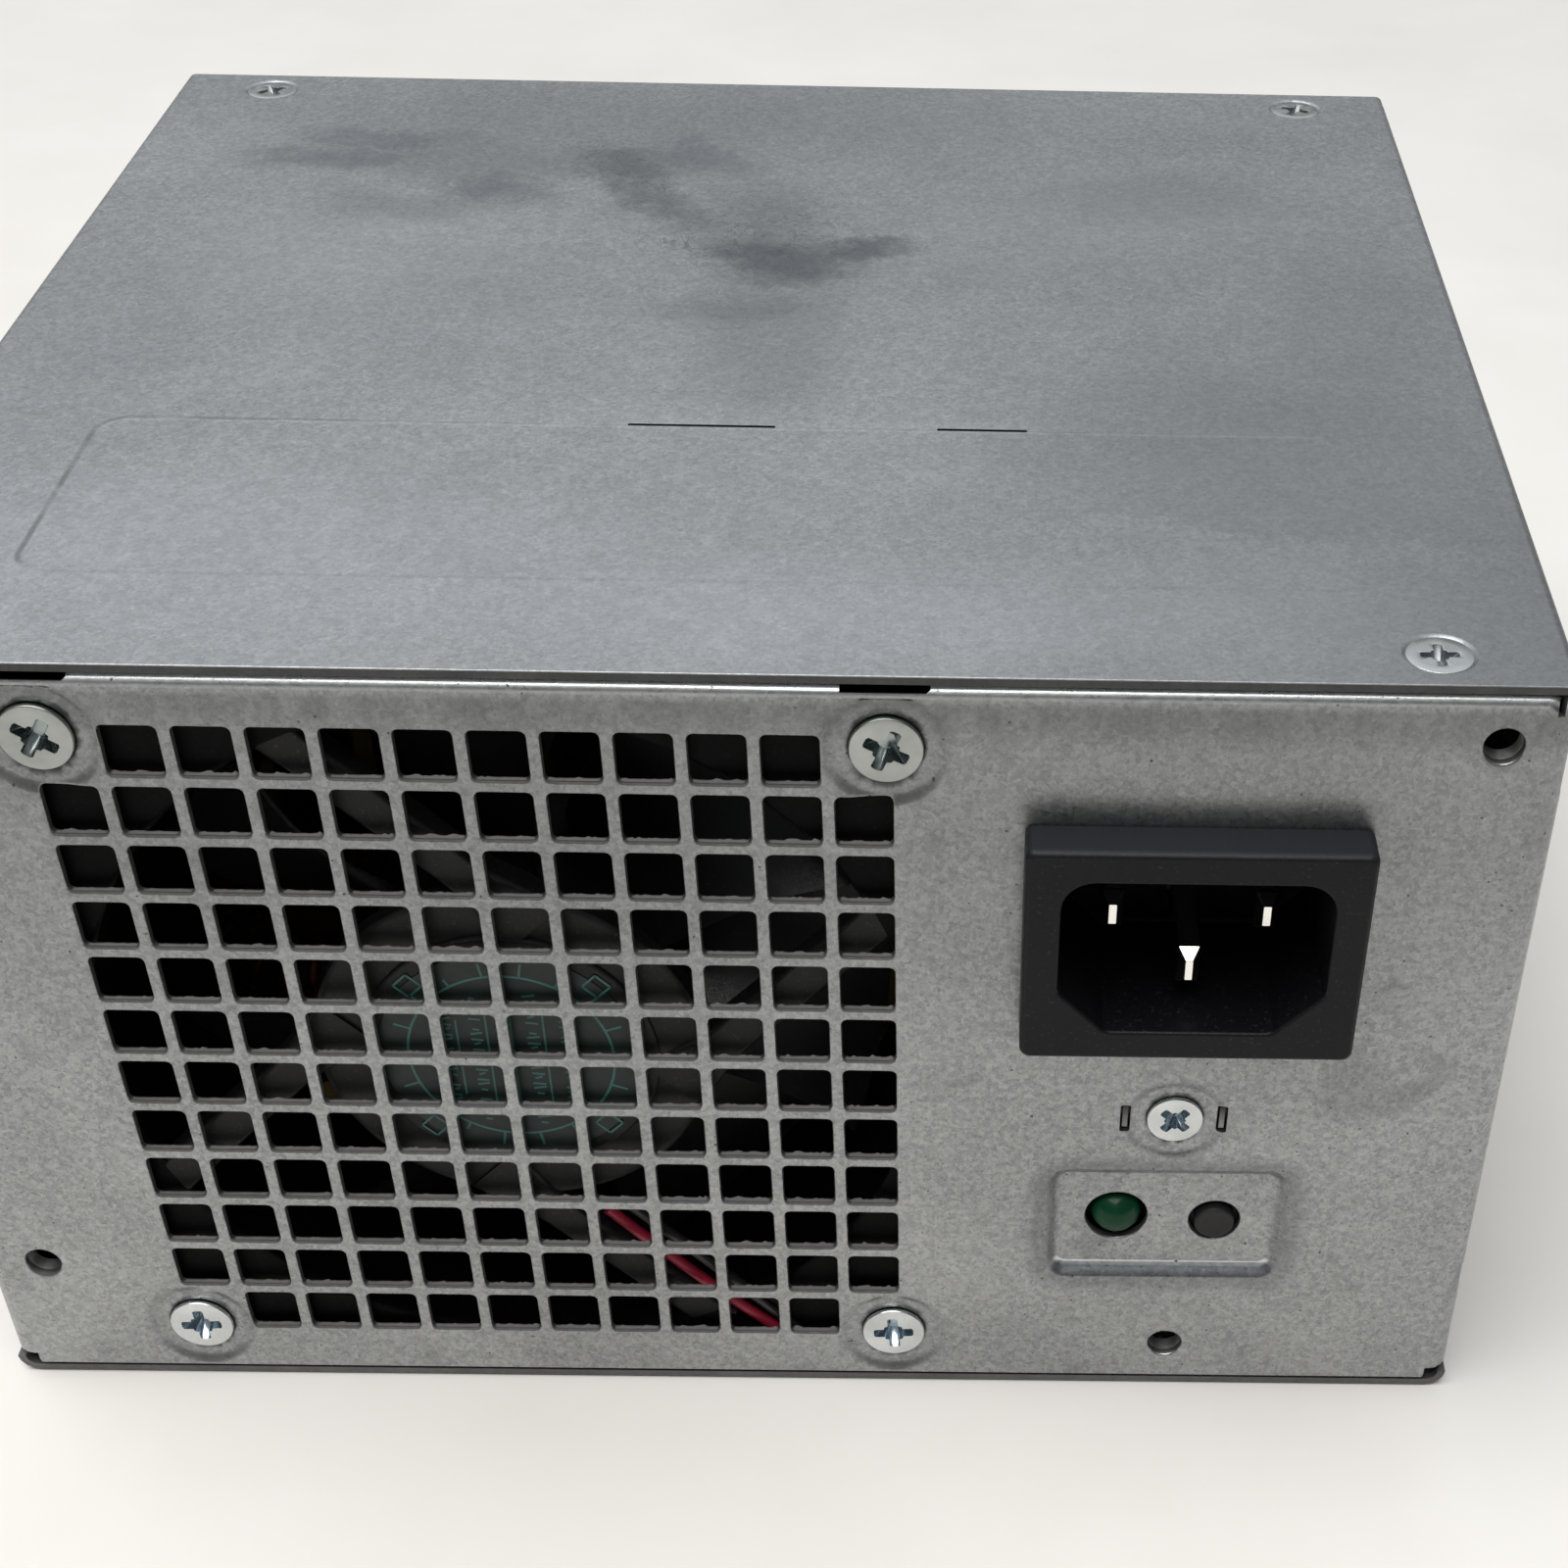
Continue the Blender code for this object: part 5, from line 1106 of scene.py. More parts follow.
def tube(path, radius, sides=10):
    """Closed round tube; radius may be a function of the fraction along it."""
    fr = frames(path)
    rings = []
    for i, (p, (t, n, b)) in enumerate(zip(path, fr)):
        r = radius(i / (len(path) - 1)) if callable(radius) else radius
        rings.append([p + (n * math.cos(2 * math.pi * k / sides) + b * math.sin(2 * math.pi * k / sides)) * r
                      for k in range(sides)])
    return loft(rings)


IDENTITY = Matrix.Translation(P(0, 0, 0)) @ Matrix.Scale(MM, 4)   # local (x, d, z) in mm

v, f = merged(*[loft(r) for r in crumbs])
finish_mesh("grille_burr", placed(v, IDENTITY), f, M["dust"], "case", (), sharp=80)

# rolled threads in the four mounting holes, seen from outside as a bright rim
for i, (x, z) in enumerate(MOUNT_HOLES):
    profile = [(2.72, -0.82)]
    for k in range(5):
        profile += [(1.80, -0.95 - 0.30 * k), (1.64, -1.10 - 0.30 * k)]
    profile += [(1.80, -2.42), (2.5, -2.42), (2.72, -2.2), (2.72, -0.82)]
    v, f = lathe(profile, 40)
    finish_mesh(f"thread_{i + 1}", placed(v, rear_axis(x, 0.0, z)), f, M["cut"], "case", (), sharp=25)

# ------------------------------------------------------------------------ screws
def cross_tool(reach, width, depth, top=0.15):
    """Tapered four-armed Phillips recess as one closed star prism."""
    def ring(h, k):
        # k: 0 at the face, 1 at the bottom
        a = reach * (1 - 0.62 * k)
        w = width / 2 * (1 - 0.30 * k)
        c = w * 1.62
        pts = []
        for q in range(4):
            ca, sa = math.cos(math.pi / 2 * q), math.sin(math.pi / 2 * q)
            for px, py in ((a * 0.93, -w), (a, -w * 0.55), (a, w * 0.55), (a * 0.93, w), (c * 1.12, w), (c, c)):
                if px == c and py == c:
                    pts.append((ca * c - sa * c, sa * c + ca * c, h))
                    continue
                pts.append((ca * px - sa * py, sa * px + ca * py, h))
            # the arm's mirror corner into the next arm
            pts.append((ca * w - sa * c * 1.12, sa * w + ca * c * 1.12, h))
        return pts
    return loft([ring(top, 0), ring(0.0, 0.0), ring(-depth * 0.55, 0.45), ring(-depth, 1.0)])


def screw_mesh(head, edge, cone, shank, length, reach, width, depth, crown=0.0):
    profile = [(0, crown), (head * 0.35, crown * 0.9), (head * 0.7, crown * 0.5), (head - edge, 0.0),
               (head - edge * 0.4, -edge * 0.2), (head, -edge), (head, -edge - 0.25),
               (shank, -edge - 0.25 - cone), (shank, -length + 0.5), (shank - 0.5, -length), (0, -length)]
    v, f = lathe(profile, 56)
    return carve(v, f, [cross_tool(reach, width, depth, crown + 0.3)], 0.035, 2, 30)


fan_screw_mesh = screw_mesh(3.2, 0.16, 0.95, 1.8, 9.6, 2.05, 1.08, 1.7, 0.04)
small_screw_mesh = screw_mesh(2.7, 0.14, 0.85, 1.35, 7.0, 1.66, 0.92, 1.4, 0.03)
lid_screw_mesh = screw_mesh(2.95, 0.12, 0.7, 1.4, 6.0, 1.7, 0.80, 1.0, 0.02)


def place_screw(name, mesh, matrix, turn, reach, finish=("zinc", "zinc_recess_painted_shade")):
    v, f = mesh
    m = matrix @ Matrix.Rotation(math.radians(turn), 4, "Z")
    # faces inside the recess take the second finish, a copy with painted shade
    idx = []
    for face in f:
        c = sum((Vector(v[i]) for i in face), Vector()) / len(face)
        deep = c.z < -0.03 and math.hypot(c.x, c.y) < reach * 1.03 and c.z > -2.0
        idx.append(1 if deep else 0)
    obj = finish_mesh(name.replace("screw", "head_screw"), placed(v, m), f, [M[k] for k in finish], "case",
                      (name,), sharp=30, mat_index=idx)
    return obj


for i, turn, finish in ((1, 57, ("zinc_dull", "zinc_dull_recess_painted_shade")), (2, -26, ("zinc_dull", "zinc_dull_recess_painted_shade")),
                        (3, 3, ("zinc", "zinc_recess_painted_shade")), (4, 4, ("zinc", "zinc_recess_painted_shade"))):
    name = f"fan_screw_{i}"
    x, z = screw_xy[name]
    place_screw(name, fan_screw_mesh, rear_axis(x, nbox(name)[0][1] - 0.26, z), turn, 2.05, finish)
x, z = screw_xy["bracket_screw"]
place_screw("bracket_screw", small_screw_mesh, rear_axis(x, nbox("bracket_screw")[0][1] - 0.12, z), 47, 1.66)
for i, (x, d) in enumerate(LID_SCREWS):
    name = f"cover_screw_{i + 1}"
    place_screw(name, lid_screw_mesh, up_axis(x, d, nbox(name)[1][2] - 0.02), (2, 8, 65, 33)[i], 1.7, ("zinc", "zinc_pale_recess_painted_shade"))

# ------------------------------------------------------------------- mains inlet
def inlet_ring(inset, d, r=0.9):
    w, h = inl_hi[0] - inl_lo[0], inl_hi[2] - inl_lo[2]
    return [(x, d, z) for x, z in rrect(inl_x, inl_z, w - 2 * inset, h - 2 * inset, max(r - inset * 0.5, 0.25), 6)]


def socket_ring(s, d):
    """Socket outline grown by s: rounded upper corners, chamfered lower ones."""
    w, h, r, cw = 12.0 + s, 8.25 + s, 3.0 + s, 7.5 + s * 0.42
    ch = w - cw
    pts = []
    for k in range(9):
        a = math.radians(90 * k / 8)
        pts.append((w - r + r * math.cos(a), h - r + r * math.sin(a)))
    for k in range(9):
        a = math.radians(90 + 90 * k / 8)
        pts.append((-w + r + r * math.cos(a), h - r + r * math.sin(a)))
    f = 0.5
    pts += [(-w, -h + ch + f), (-w + f * 0.3, -h + ch - f * 0.45), (-cw - f * 0.45, -h + f * 0.3), (-cw + f, -h)]
    pts += [(cw - f, -h), (cw + f * 0.45, -h + f * 0.3), (w - f * 0.3, -h + ch - f * 0.45), (w, -h + ch + f)]
    return [(inl_x + x, d, inl_z + z) for x, z in pts]


front_d = inl_lo[1]
E = 0.75
outer_rings = [inlet_ring(0, -0.2)]
for k in range(5):
    a = math.radians(90 * k / 4)
    outer_rings.append(inlet_ring(E * (1 - math.cos(a)) * 0.75, front_d + E - E * math.sin(a)))
flange = loft(outer_rings)
body_box = loft([[(x, d, z) for x, z in rrect(inl_x, inl_z, 26.4, 18.8, 0.8, 4)] for d in (-1.0, 15.0)])
L = 0.35
lips = [socket_ring(L + 0.02, front_d - 0.4)]
for k in range(5):
    a = math.radians(90 * k / 4)
    lips.append(socket_ring(L * (1 - math.sin(a)), front_d + L * (1 - math.cos(a))))
lips.append(socket_ring(-0.12, 12.2))
lips.append(socket_ring(-0.42, 12.5))
pin_spots = [("live_pin", *[ncentre("live_pin")[i] for i in (0, 2)]),
             ("neutral_pin", *[ncentre("neutral_pin")[i] for i in (0, 2)]),
             ("earth_pin", *[ncentre("earth_pin")[i] for i in (0, 2)])]
slots = [box_mesh((x - 1.3, x + 1.3), (10, 17), (z - 2.3, z + 2.3)) for _, x, z in pin_spots]
v, f = carve(*flange, [loft(lips)] + slots, join=[body_box])
finish_mesh("inlet", placed(v, IDENTITY), f, M["inlet"], "case", ("inlet_housing",), sharp=32)

for name, x, z in pin_spots:
    (_, tip, _), (_, back, _) = nbox(name)

    def pin_ring(hw, hh, d, r=0.12):
        return [(px, d, pz) for px, pz in rrect(x, z, 2 * hw, 2 * hh, r, 2)]
    upper = name != "earth_pin"
    rings = [pin_ring(0.35 if upper else 0.33, 1.06, tip, 0.08),
             pin_ring(0.40 if upper else 0.38, 1.13, tip + 0.05, 0.1), pin_ring(0.98, 1.98, tip + 1.02, 0.12),
             pin_ring(1.0, 2.0, tip + 1.12, 0.12), pin_ring(1.0, 2.0, back - 0.1, 0.12), pin_ring(0.92, 1.92, back, 0.1)]
    v, f = loft(rings)
    # the live and neutral blades' tip bevels take the dark copy: painted shade
    shaded_bevels = [1 if upper and i < 3 * len(rings[0]) else 0 for i in range(len(f))]
    finish_mesh(name.replace("pin", "blade"), placed(v, IDENTITY), f, [M["pin"], M["pin_shade"]], "case", (name,),
                sharp=20, mat_index=shaded_bevels)

# ------------------------------------------------------- status light and button
(_, led_tip, _), (_, led_back, _) = nbox("led_lens")
dome = [(0, 0)]
for k in range(1, 13):
    a = math.radians(90 * k / 12)
    dome.append((2.5 * math.sin(a), -2.3 * (1 - math.cos(a))))
dome += [(2.5, -3.6), (2.9, -3.75), (2.9, -(led_back - led_tip) + 0.15), (2.75, -(led_back - led_tip)), (0, -(led_back - led_tip))]
v, f = lathe(dome, 56)
finish_mesh("status_light", placed(v, rear_axis(led_x, led_tip, led_z)), f, M["led"], "case", ("led_lens",),
            sharp=35)
(_, b_face, _), (_, b_back, _) = nbox("test_button")
t = b_back - b_face
v, f = lathe([(0, -0.12), (1.0, -0.10), (1.5, -0.04), (1.7, 0), (1.88, -0.05), (1.98, -0.18), (2.0, -0.35), (2.0, -1.85),
              (2.75, -1.9), (2.8, -2.05), (2.8, -t + 0.1), (2.7, -t), (0, -t)], 48)
finish_mesh("button", placed(v, rear_axis(but_x, b_face, but_z)), f, M["button"], "button", ("test_button",),
            sharp=35)

# ---------------------------------------------------------------------- the fan
fan_lo, fan_hi = nbox("fan_frame")
FD = fan_lo[1]
side = fan_hi[0] - fan_lo[0]


def fan_square(half, d, r=4.2):
    return [(x, d, z) for x, z in rrect(fan_x, fan_z, 2 * half, 2 * half, r, 6)]


def fan_round(r, d, n=28):
    # matches the point order and count of fan_square: start at angle 0 of the first corner arc
    return [(fan_x + r * math.cos(a), d, fan_z + r * math.sin(a)) for a in
            [math.radians(45 + 90 * q + (k - 3) * 90 / 7) for q in range(4) for k in range(7)]]


frame_body = loft([fan_square(39.8, FD, 4.0), fan_square(40.0, FD + 0.2), fan_square(40.0, FD + 3.6),
                   fan_square(39.6, FD + 4.0, 3.9), fan_square(39.6, fan_hi[1] - 4.0, 3.9),
                   fan_square(40.0, fan_hi[1] - 3.6), fan_square(40.0, fan_hi[1] - 0.2),
                   fan_square(39.8, fan_hi[1], 4.0)])
NB = 96


def bore_ring(r, d):
    return [(fan_x + r * math.cos(2 * math.pi * k / NB), d, fan_z + r * math.sin(2 * math.pi * k / NB))
            for k in range(NB)]


bore = loft([bore_ring(39.0, FD - 0.5), bore_ring(38.9, FD), bore_ring(38.35, FD + 0.35), bore_ring(38.0, FD + 1.2),
             bore_ring(38.0, fan_hi[1] - 1.2), bore_ring(38.35, fan_hi[1] - 0.35), bore_ring(38.9, fan_hi[1]),
             bore_ring(39.0, fan_hi[1] + 0.5)])
tools = [bore]
for i in (1, 2, 3, 4):
    x, z = screw_xy[f"fan_screw_{i}"]
    tools.append(loft([[(x + 2.15 * math.cos(2 * math.pi * k / 24), d, z + 2.15 * math.sin(2 * math.pi * k / 24))
                        for k in range(24)] for d in (FD - 1, fan_hi[1] + 1)]))
tools.append(box_mesh((5.3, 13.2), (FD - 1, FD + 26), (-1, 4.2)))
# slanted notch that lets the leads leave the bore at the corner
q = math.sqrt(0.5)
tools.append(loft([[(5.5 + q * (s * 2.2 + t * 9.0), d, 5.7 + q * (s * 2.2 - t * 9.0)) for s, t in ((1, 1), (1, -1), (-1, -1), (-1, 1))]
                   for d in (FD - 1, FD + 4.3)]))
frame_v, frame_f = carve(*frame_body, tools)
shells = [(frame_v, frame_f)]

# hub plate, its raised rim, and the bearing tube behind it
hub_profile = [(0, 0.0), (13.55, 0.0), (13.75, -0.05), (13.9, -0.17), (13.97, -0.42), (17.7, -0.42), (18.2, -0.52),
               (18.5, -0.75), (18.6, -1.1), (18.6, -2.4), (18.4, -2.6), (4.4, -2.6), (4.4, -15.3), (3.35, -15.3), (3.35, -2.2),
               (0, -2.2)]
v, f = lathe(hub_profile, 96)
shells.append(([(fan_x + a, FD + 0.1 - h, fan_z + b) for a, b, h in v], f))

for k in range(4):
    a = math.radians(45 + 90 * k)
    out = Vector((-math.sin(a), 0, math.cos(a)))
    side_v = Vector((out.z, 0, -out.x))
    mid = Vector((fan_x, 0, fan_z)) + side_v * 13.1

    def strut_ring(s, half, d0=FD + 0.2, d1=FD + 3.2):
        c = mid + out * s
        rr = 0.55
        pts = []
        for px, py in rrect(0, (d0 + d1) / 2, 2 * half, d1 - d0, rr, 3):
            q = c + side_v * px
            pts.append((q.x, py, q.z))
        return pts
    stations = [(8.0, 3.4), (11.5, 2.9), (13.0, 2.5), (14.8, 2.15), (17.0, 2.0), (29.5, 2.0), (34.0, 2.0), (36.2, 2.1),
                (38.4, 2.3)]
    shells.append(loft([strut_ring(s, w) for s, w in stations]))
v, f = merged(*shells)
idx = [0] * len(shells[0][1]) + [1] * (len(f) - len(shells[0][1]))
finish_mesh("fan_housing", placed(v, IDENTITY), f, [M["fan"], M["hub"]], "case", ("fan_frame",), sharp=35,
            mat_index=idx)

# printed paper label on the hub plate
v, f = lathe([(0, 0.0), (12.35, 0.0), (12.4, -0.05), (12.4, -0.12), (0, -0.12)], 72)
label = finish_mesh("fan_label", [P(fan_x + a, FD - 0.02 - h, fan_z + b) for a, b, h in v], f, M["label"], "case",
                    (), sharp=35)

# plain line pattern printed on the label: ring, ticks, zigzag and bars
PRINT_D = FD - 0.035


def stroke(x0, z0, x1, z1, w):
    a = Vector((x1 - x0, z1 - z0)).normalized()
    n_ = Vector((-a.y, a.x)) * w / 2
    pts_ = [(x0 + n_.x, z0 + n_.y), (x0 - n_.x, z0 - n_.y), (x1 - n_.x, z1 - n_.y), (x1 + n_.x, z1 + n_.y)]
    return loft([[(fan_x + a_, d_, fan_z + b_) for a_, b_ in pts_] for d_ in (PRINT_D, PRINT_D + 0.02)])


def polar(r, deg):
    return r * math.cos(math.radians(deg)), r * math.sin(math.radians(deg))


marks = []
ring_rows = []
for r, d_ in ((9.55, PRINT_D + 0.02), (9.55, PRINT_D), (9.80, PRINT_D), (9.80, PRINT_D + 0.02)):
    ring_rows.append([(fan_x + r * math.cos(2 * math.pi * k / 72), d_, fan_z + r * math.sin(2 * math.pi * k / 72))
                      for k in range(72)])
marks.append(loft(ring_rows + [ring_rows[0]], caps=False))
for deg in range(0, 360, 20):
    marks.append(stroke(*polar(9.8, deg), *polar(11.3 if deg % 60 else 10.6, deg), 0.24))
for cx0, lo_z, hi_z, wide in ((-5.6, -6.0, 6.4, 0.7), (-3.0, -7.8, 7.6, 1.1), (-0.5, -8.6, 8.4, 0.7), (2.3, -8.2, 8.0, 1.2),
                              (5.2, -6.2, 6.6, 0.7)):
    # a column of short cross dashes beside one thin rule
    z_, k_ = lo_z, 0
    while z_ < hi_z:
        half_w = wide / 2 * (1.0 if k_ % 3 else 0.55)
        if k_ % 7 != 5:
            marks.append(stroke(cx0 - half_w, z_, cx0 + half_w, z_ + (0.18 if k_ % 2 else -0.12), 0.24))
        z_ += 0.62
        k_ += 1
    marks.append(stroke(cx0 + wide / 2 + 0.45, lo_z + 1.2, cx0 + wide / 2 + 0.45, hi_z - 2.0, 0.18))
for bx, bz in ((-8.7, 8.4), (8.7, 8.6), (-8.3, -8.8), (8.5, -8.2)):
    # small open squares set on their corner
    for (xa, za), (xb, zb) in (((0, 1.3), (1.3, 0)), ((1.3, 0), (0, -1.3)), ((0, -1.3), (-1.3, 0)), ((-1.3, 0), (0, 1.3))):
        marks.append(stroke(bx + xa, bz + za, bx + xb, bz + zb, 0.22))
v, f = merged(*marks)
finish_mesh("fan_label_print", placed(v, IDENTITY), f, M["print"], "case", (), sharp=35)

# rotor: cup with a rounded shoulder, and seven twisted blades
rot_lo, rot_hi = nbox("fan_rotor")
cup_a, cup_b = rot_lo[1], rot_hi[1]
cup_r = 15.6
v, f = lathe([(14.6, 0), (cup_r - 0.2, 0), (cup_r, -0.2), (cup_r, -(cup_b - cup_a) + 2.2), (cup_r - 0.65, -(cup_b - cup_a) + 0.65),
              (cup_r - 2.2, -(cup_b - cup_a)), (0, -(cup_b - cup_a)), (0, -(cup_b - cup_a) + 1.4),
              (14.4, -(cup_b - cup_a) + 1.6), (14.6, -(cup_b - cup_a) + 2.4), (14.6, 0)], 72)
rotor_parts = [([(fan_x + a, cup_a - h, fan_z + b) for a, b, h in v], f)]
mid_d = (cup_a + cup_b) / 2
for n in range(7):
    grid_top, grid_bot = [], []
    NR, NC = 9, 12
    for i in range(NR):
        fr_ = i / (NR - 1)
        r = (cup_r - 0.4) + fr_ * (35.3 - cup_r + 0.4)
        pitch = math.radians(44 - 16 * fr_)
        chord = 17.5 + 9.0 * fr_
        sweep = math.radians(-7 * fr_ * fr_)
        row_t, row_b = [], []
        for j in range(NC):
            c = j / (NC - 1) - 0.5
            camber = 2.2 * (1 - 4 * c * c)
            thick = 1.3 * (1 - 0.55 * fr_) * (1 - 3.2 * abs(c) ** 3) + 0.25
            along = c * chord * math.cos(pitch) - camber * math.sin(pitch)
            deep = c * chord * math.sin(pitch) + camber * math.cos(pitch)
            ang = along / r + 2 * math.pi * n / 7 + sweep
            for row, off in ((row_t, -thick / 2), (row_b, thick / 2)):
                dd = min(max(mid_d + deep + off, cup_a + 0.3), cup_b - 0.3)
                row.append((fan_x + r * math.cos(ang), dd, fan_z + r * math.sin(ang)))
        grid_top.append(row_t)
        grid_bot.append(row_b)
    rings = [t_ + b_[::-1] for t_, b_ in zip(grid_top, grid_bot)]
    rotor_parts.append(loft(rings))
v, f = merged(*rotor_parts)
finish_mesh("fan_blades", placed(v, IDENTITY), f, M["rotor"], "rotor", ("fan_rotor",), sharp=45)

# fan leads, slightly wavy, with the same run as the solids they stand for
for name, mat, slot, pts in (
        ("fan_wire_red", "red", "wire_red",
         [(-12.0, 3.2, 21.6), (-8.4, 2.9, 17.9), (-2.2, 2.6, 11.6), (1.2, 2.4, 8.5), (5.0, 2.2, 5.1), (8.0, 2.6, 1.75), (8.4, 12, 1.7),
          (8.4, 25, 1.7), (8.4, 28.6, 3.0), (8.4, 29.4, 9.0), (8.4, 31.2, 12.4), (8.4, 33.5, 12.6)]),
        ("fan_wire_black", "black", "wire_black",
         [(-10.3, 3.2, 22.9), (-6.7, 2.9, 19.4), (-0.3, 2.6, 12.9), (6.1, 2.2, 6.3), (10.3, 2.6, 1.75), (10.4, 12, 1.7),
          (10.4, 25, 1.7), (10.4, 28.6, 3.0), (10.4, 29.4, 9.0), (10.4, 31.2, 12.4), (10.4, 33.5, 12.6)])):
    v, f = tube(catmull(pts, 8), 0.6, 12)
    finish_mesh(name.replace("wire", "lead"), placed(v, IDENTITY), f, M[mat], "case", (name,))

# --------------------------------------------------------------- output harness
DECK = 9.3
gx, gz = CABLE
v, f = lathe([(10.4, 3.0), (10.9, 3.2), (14.2, 3.2), (14.9, 2.7), (15.2, 1.9), (15.2, 1.2), (15.0, 1.0), (12.6, 1.0),
              (12.6, -1.1), (15.0, -1.1), (15.2, -1.3), (15.2, -2.0), (14.9, -2.8), (14.2, -3.2), (10.9, -3.2), (10.4, -3.0),
              (10.2, -1.5), (10.2, 1.5), (10.4, 3.0)], 72)
finish_mesh("grommet", placed(v, rear_axis(gx, DEPTH - SHEET / 2, gz)), f, M["rubber"], "case", ("cable_grommet",),
            sharp=50)


def bundle(name, node, pts, layout, wire_r, mats, end_mats, bands, spread=(), twist=1.2, sides=8):
    """Separate insulated wires laid along one run, held by cable ties.
    layout: (offset a, offset b) per wire; spread: offsets at the connector end."""
    path = catmull(pts, 7)
    fr = frames(path)
    n = len(path)
    parts, index = [], []
    for w, (a, b) in enumerate(layout):
        run = []
        for i, (p, (t_, nn, bb)) in enumerate(zip(path, fr)):
            s = i / (n - 1)
            ang = twist * 2 * math.pi * s
            ca, sa = math.cos(ang), math.sin(ang)
            wob = 1 + 0.06 * math.sin(9 * s + w * 1.7)
            q = p + (nn * (a * ca - b * sa) + bb * (a * sa + b * ca)) * wob
            if spread:
                k = max(0.0, (s - 0.86) / 0.14)
                k = k * k * (3 - 2 * k)
                q = q * (1 - k) + Vector(spread[w]) * k
            run.append(q)
        piece = tube(run, wire_r, sides)
        index += [mats[w]] * len(piece[1])
        parts.append(piece)
    radius = max(math.hypot(a, b) for a, b in layout) + wire_r
    for s in bands:
        i = int(s * (n - 1))
        p, (t_, nn, bb) = path[i], fr[i]
        rings = []
        for h, r in ((-1.1, radius * 1.0), (-1.1, radius + 0.35), (-0.9, radius + 0.5), (0.9, radius + 0.5),
                     (1.1, radius + 0.35), (1.1, radius * 1.0)):
            rings.append([p + t_ * h + (nn * math.cos(2 * math.pi * k / 28) + bb * math.sin(2 * math.pi * k / 28)) * r
                          for k in range(28)])
        band = loft(rings + [rings[0]], caps=False)
        index += [len(end_mats)] * len(band[1])
        parts.append(band)
    v_, f_ = merged(*parts)
    return finish_mesh(name, placed(v_, IDENTITY), f_, [M[m] for m in end_mats] + [M["nylon"]], "case", (node,),
                       sharp=60, mat_index=index)


def packing(count, r, limit):
    """Round packing of count circles of radius r inside a circle."""
    spots = [(0.0, 0.0)]
    ring_no = 1
    while len(spots) < count:
        m = 6 * ring_no
        for k in range(m):
            if len(spots) < count:
                a = 2 * math.pi * k / m + 0.2 * ring_no
                spots.append((2 * r * ring_no * math.cos(a), 2 * r * ring_no * math.sin(a)))
        ring_no += 1
    return spots


COLOURS = ["black", "red", "yellow", "orange", "blue", "brown", "green", "grey", "violet", "white"]
cx_, cz_ = CABLE
main_pts = [(-42, 118, DECK + 5), (-46, 126, 20), (cx_, 134, cz_ - 4.6), (cx_, 146, cz_ - 5.6), (cx_ + 2, 156, 16),
            (cx_ + 9, 166, 6.3), (-22, 176, 4.95), (0, 180, 4.95), (22, 180, 4.95), (38, 180, 5.2)]
cpu_pts = [(-56, 116, DECK + 4), (-56, 126, 26), (cx_ - 4.6, 134, cz_ + 3.9), (cx_ - 4.6, 148, cz_ + 3.6),
           (cx_ - 7.5, 159, 25), (cx_ - 12, 169, 9), (-63, 182, 4.1), (-64, 194, 4.1), (-64, 206, 5.2)]
sata_pts = [(-50, 110, DECK + 14), (-49, 122, 36), (cx_ + 2.3, 134, cz_ + 3.6), (cx_ + 2.3, 148, cz_ + 3.2),
            (cx_ + 1, 160, 25), (cx_ + 1, 172, 12), (-44, 184, 3.2), (-36, 194, 2.9), (-22, 198, 2.9), (-8, 198, 3.6)]
main_lay = packing(19, 0.86, 4.4)
bundle("main_harness", "main_cable", main_pts, main_lay, 0.86,
       [(0, 1, 2, 0, 3, 2, 1, 0, 4, 3, 0, 2, 3, 0, 1, 5, 0, 3, 2)[i] for i in range(19)], COLOURS[:6],
       (0.40, 0.56, 0.70, 0.82),
       [(38.6, 156.9 + 4.2 * (i % 12) * 1.0 + (2.1 if i > 11 else 0), 3.1 if i % 2 else 7.3) for i in range(19)])
cpu_lay = [(0.0, 0.0)] + [(2.2 * math.cos(2 * math.pi * k / 7), 2.2 * math.sin(2 * math.pi * k / 7)) for k in range(7)]
bundle("cpu_harness", "cpu_cable", cpu_pts, cpu_lay, 0.92, [0, 1, 0, 1, 0, 1, 0, 1], ["black", "yellow"],
       (0.45, 0.62, 0.80), [(-64 + 4.2 * (i % 4 - 1.5), 207.2, 3.1 if i < 4 else 7.3) for i in range(8)])
sata_lay = packing(5, 0.80, 2.5)
bundle("sata_harness", "sata_cable", sata_pts, sata_lay, 0.80, [0, 1, 2, 0, 3], ["black", "red", "yellow", "orange"],
       (0.45, 0.64, 0.82), [(-7.3, 190 + 4 * i, 3.6) for i in range(5)])


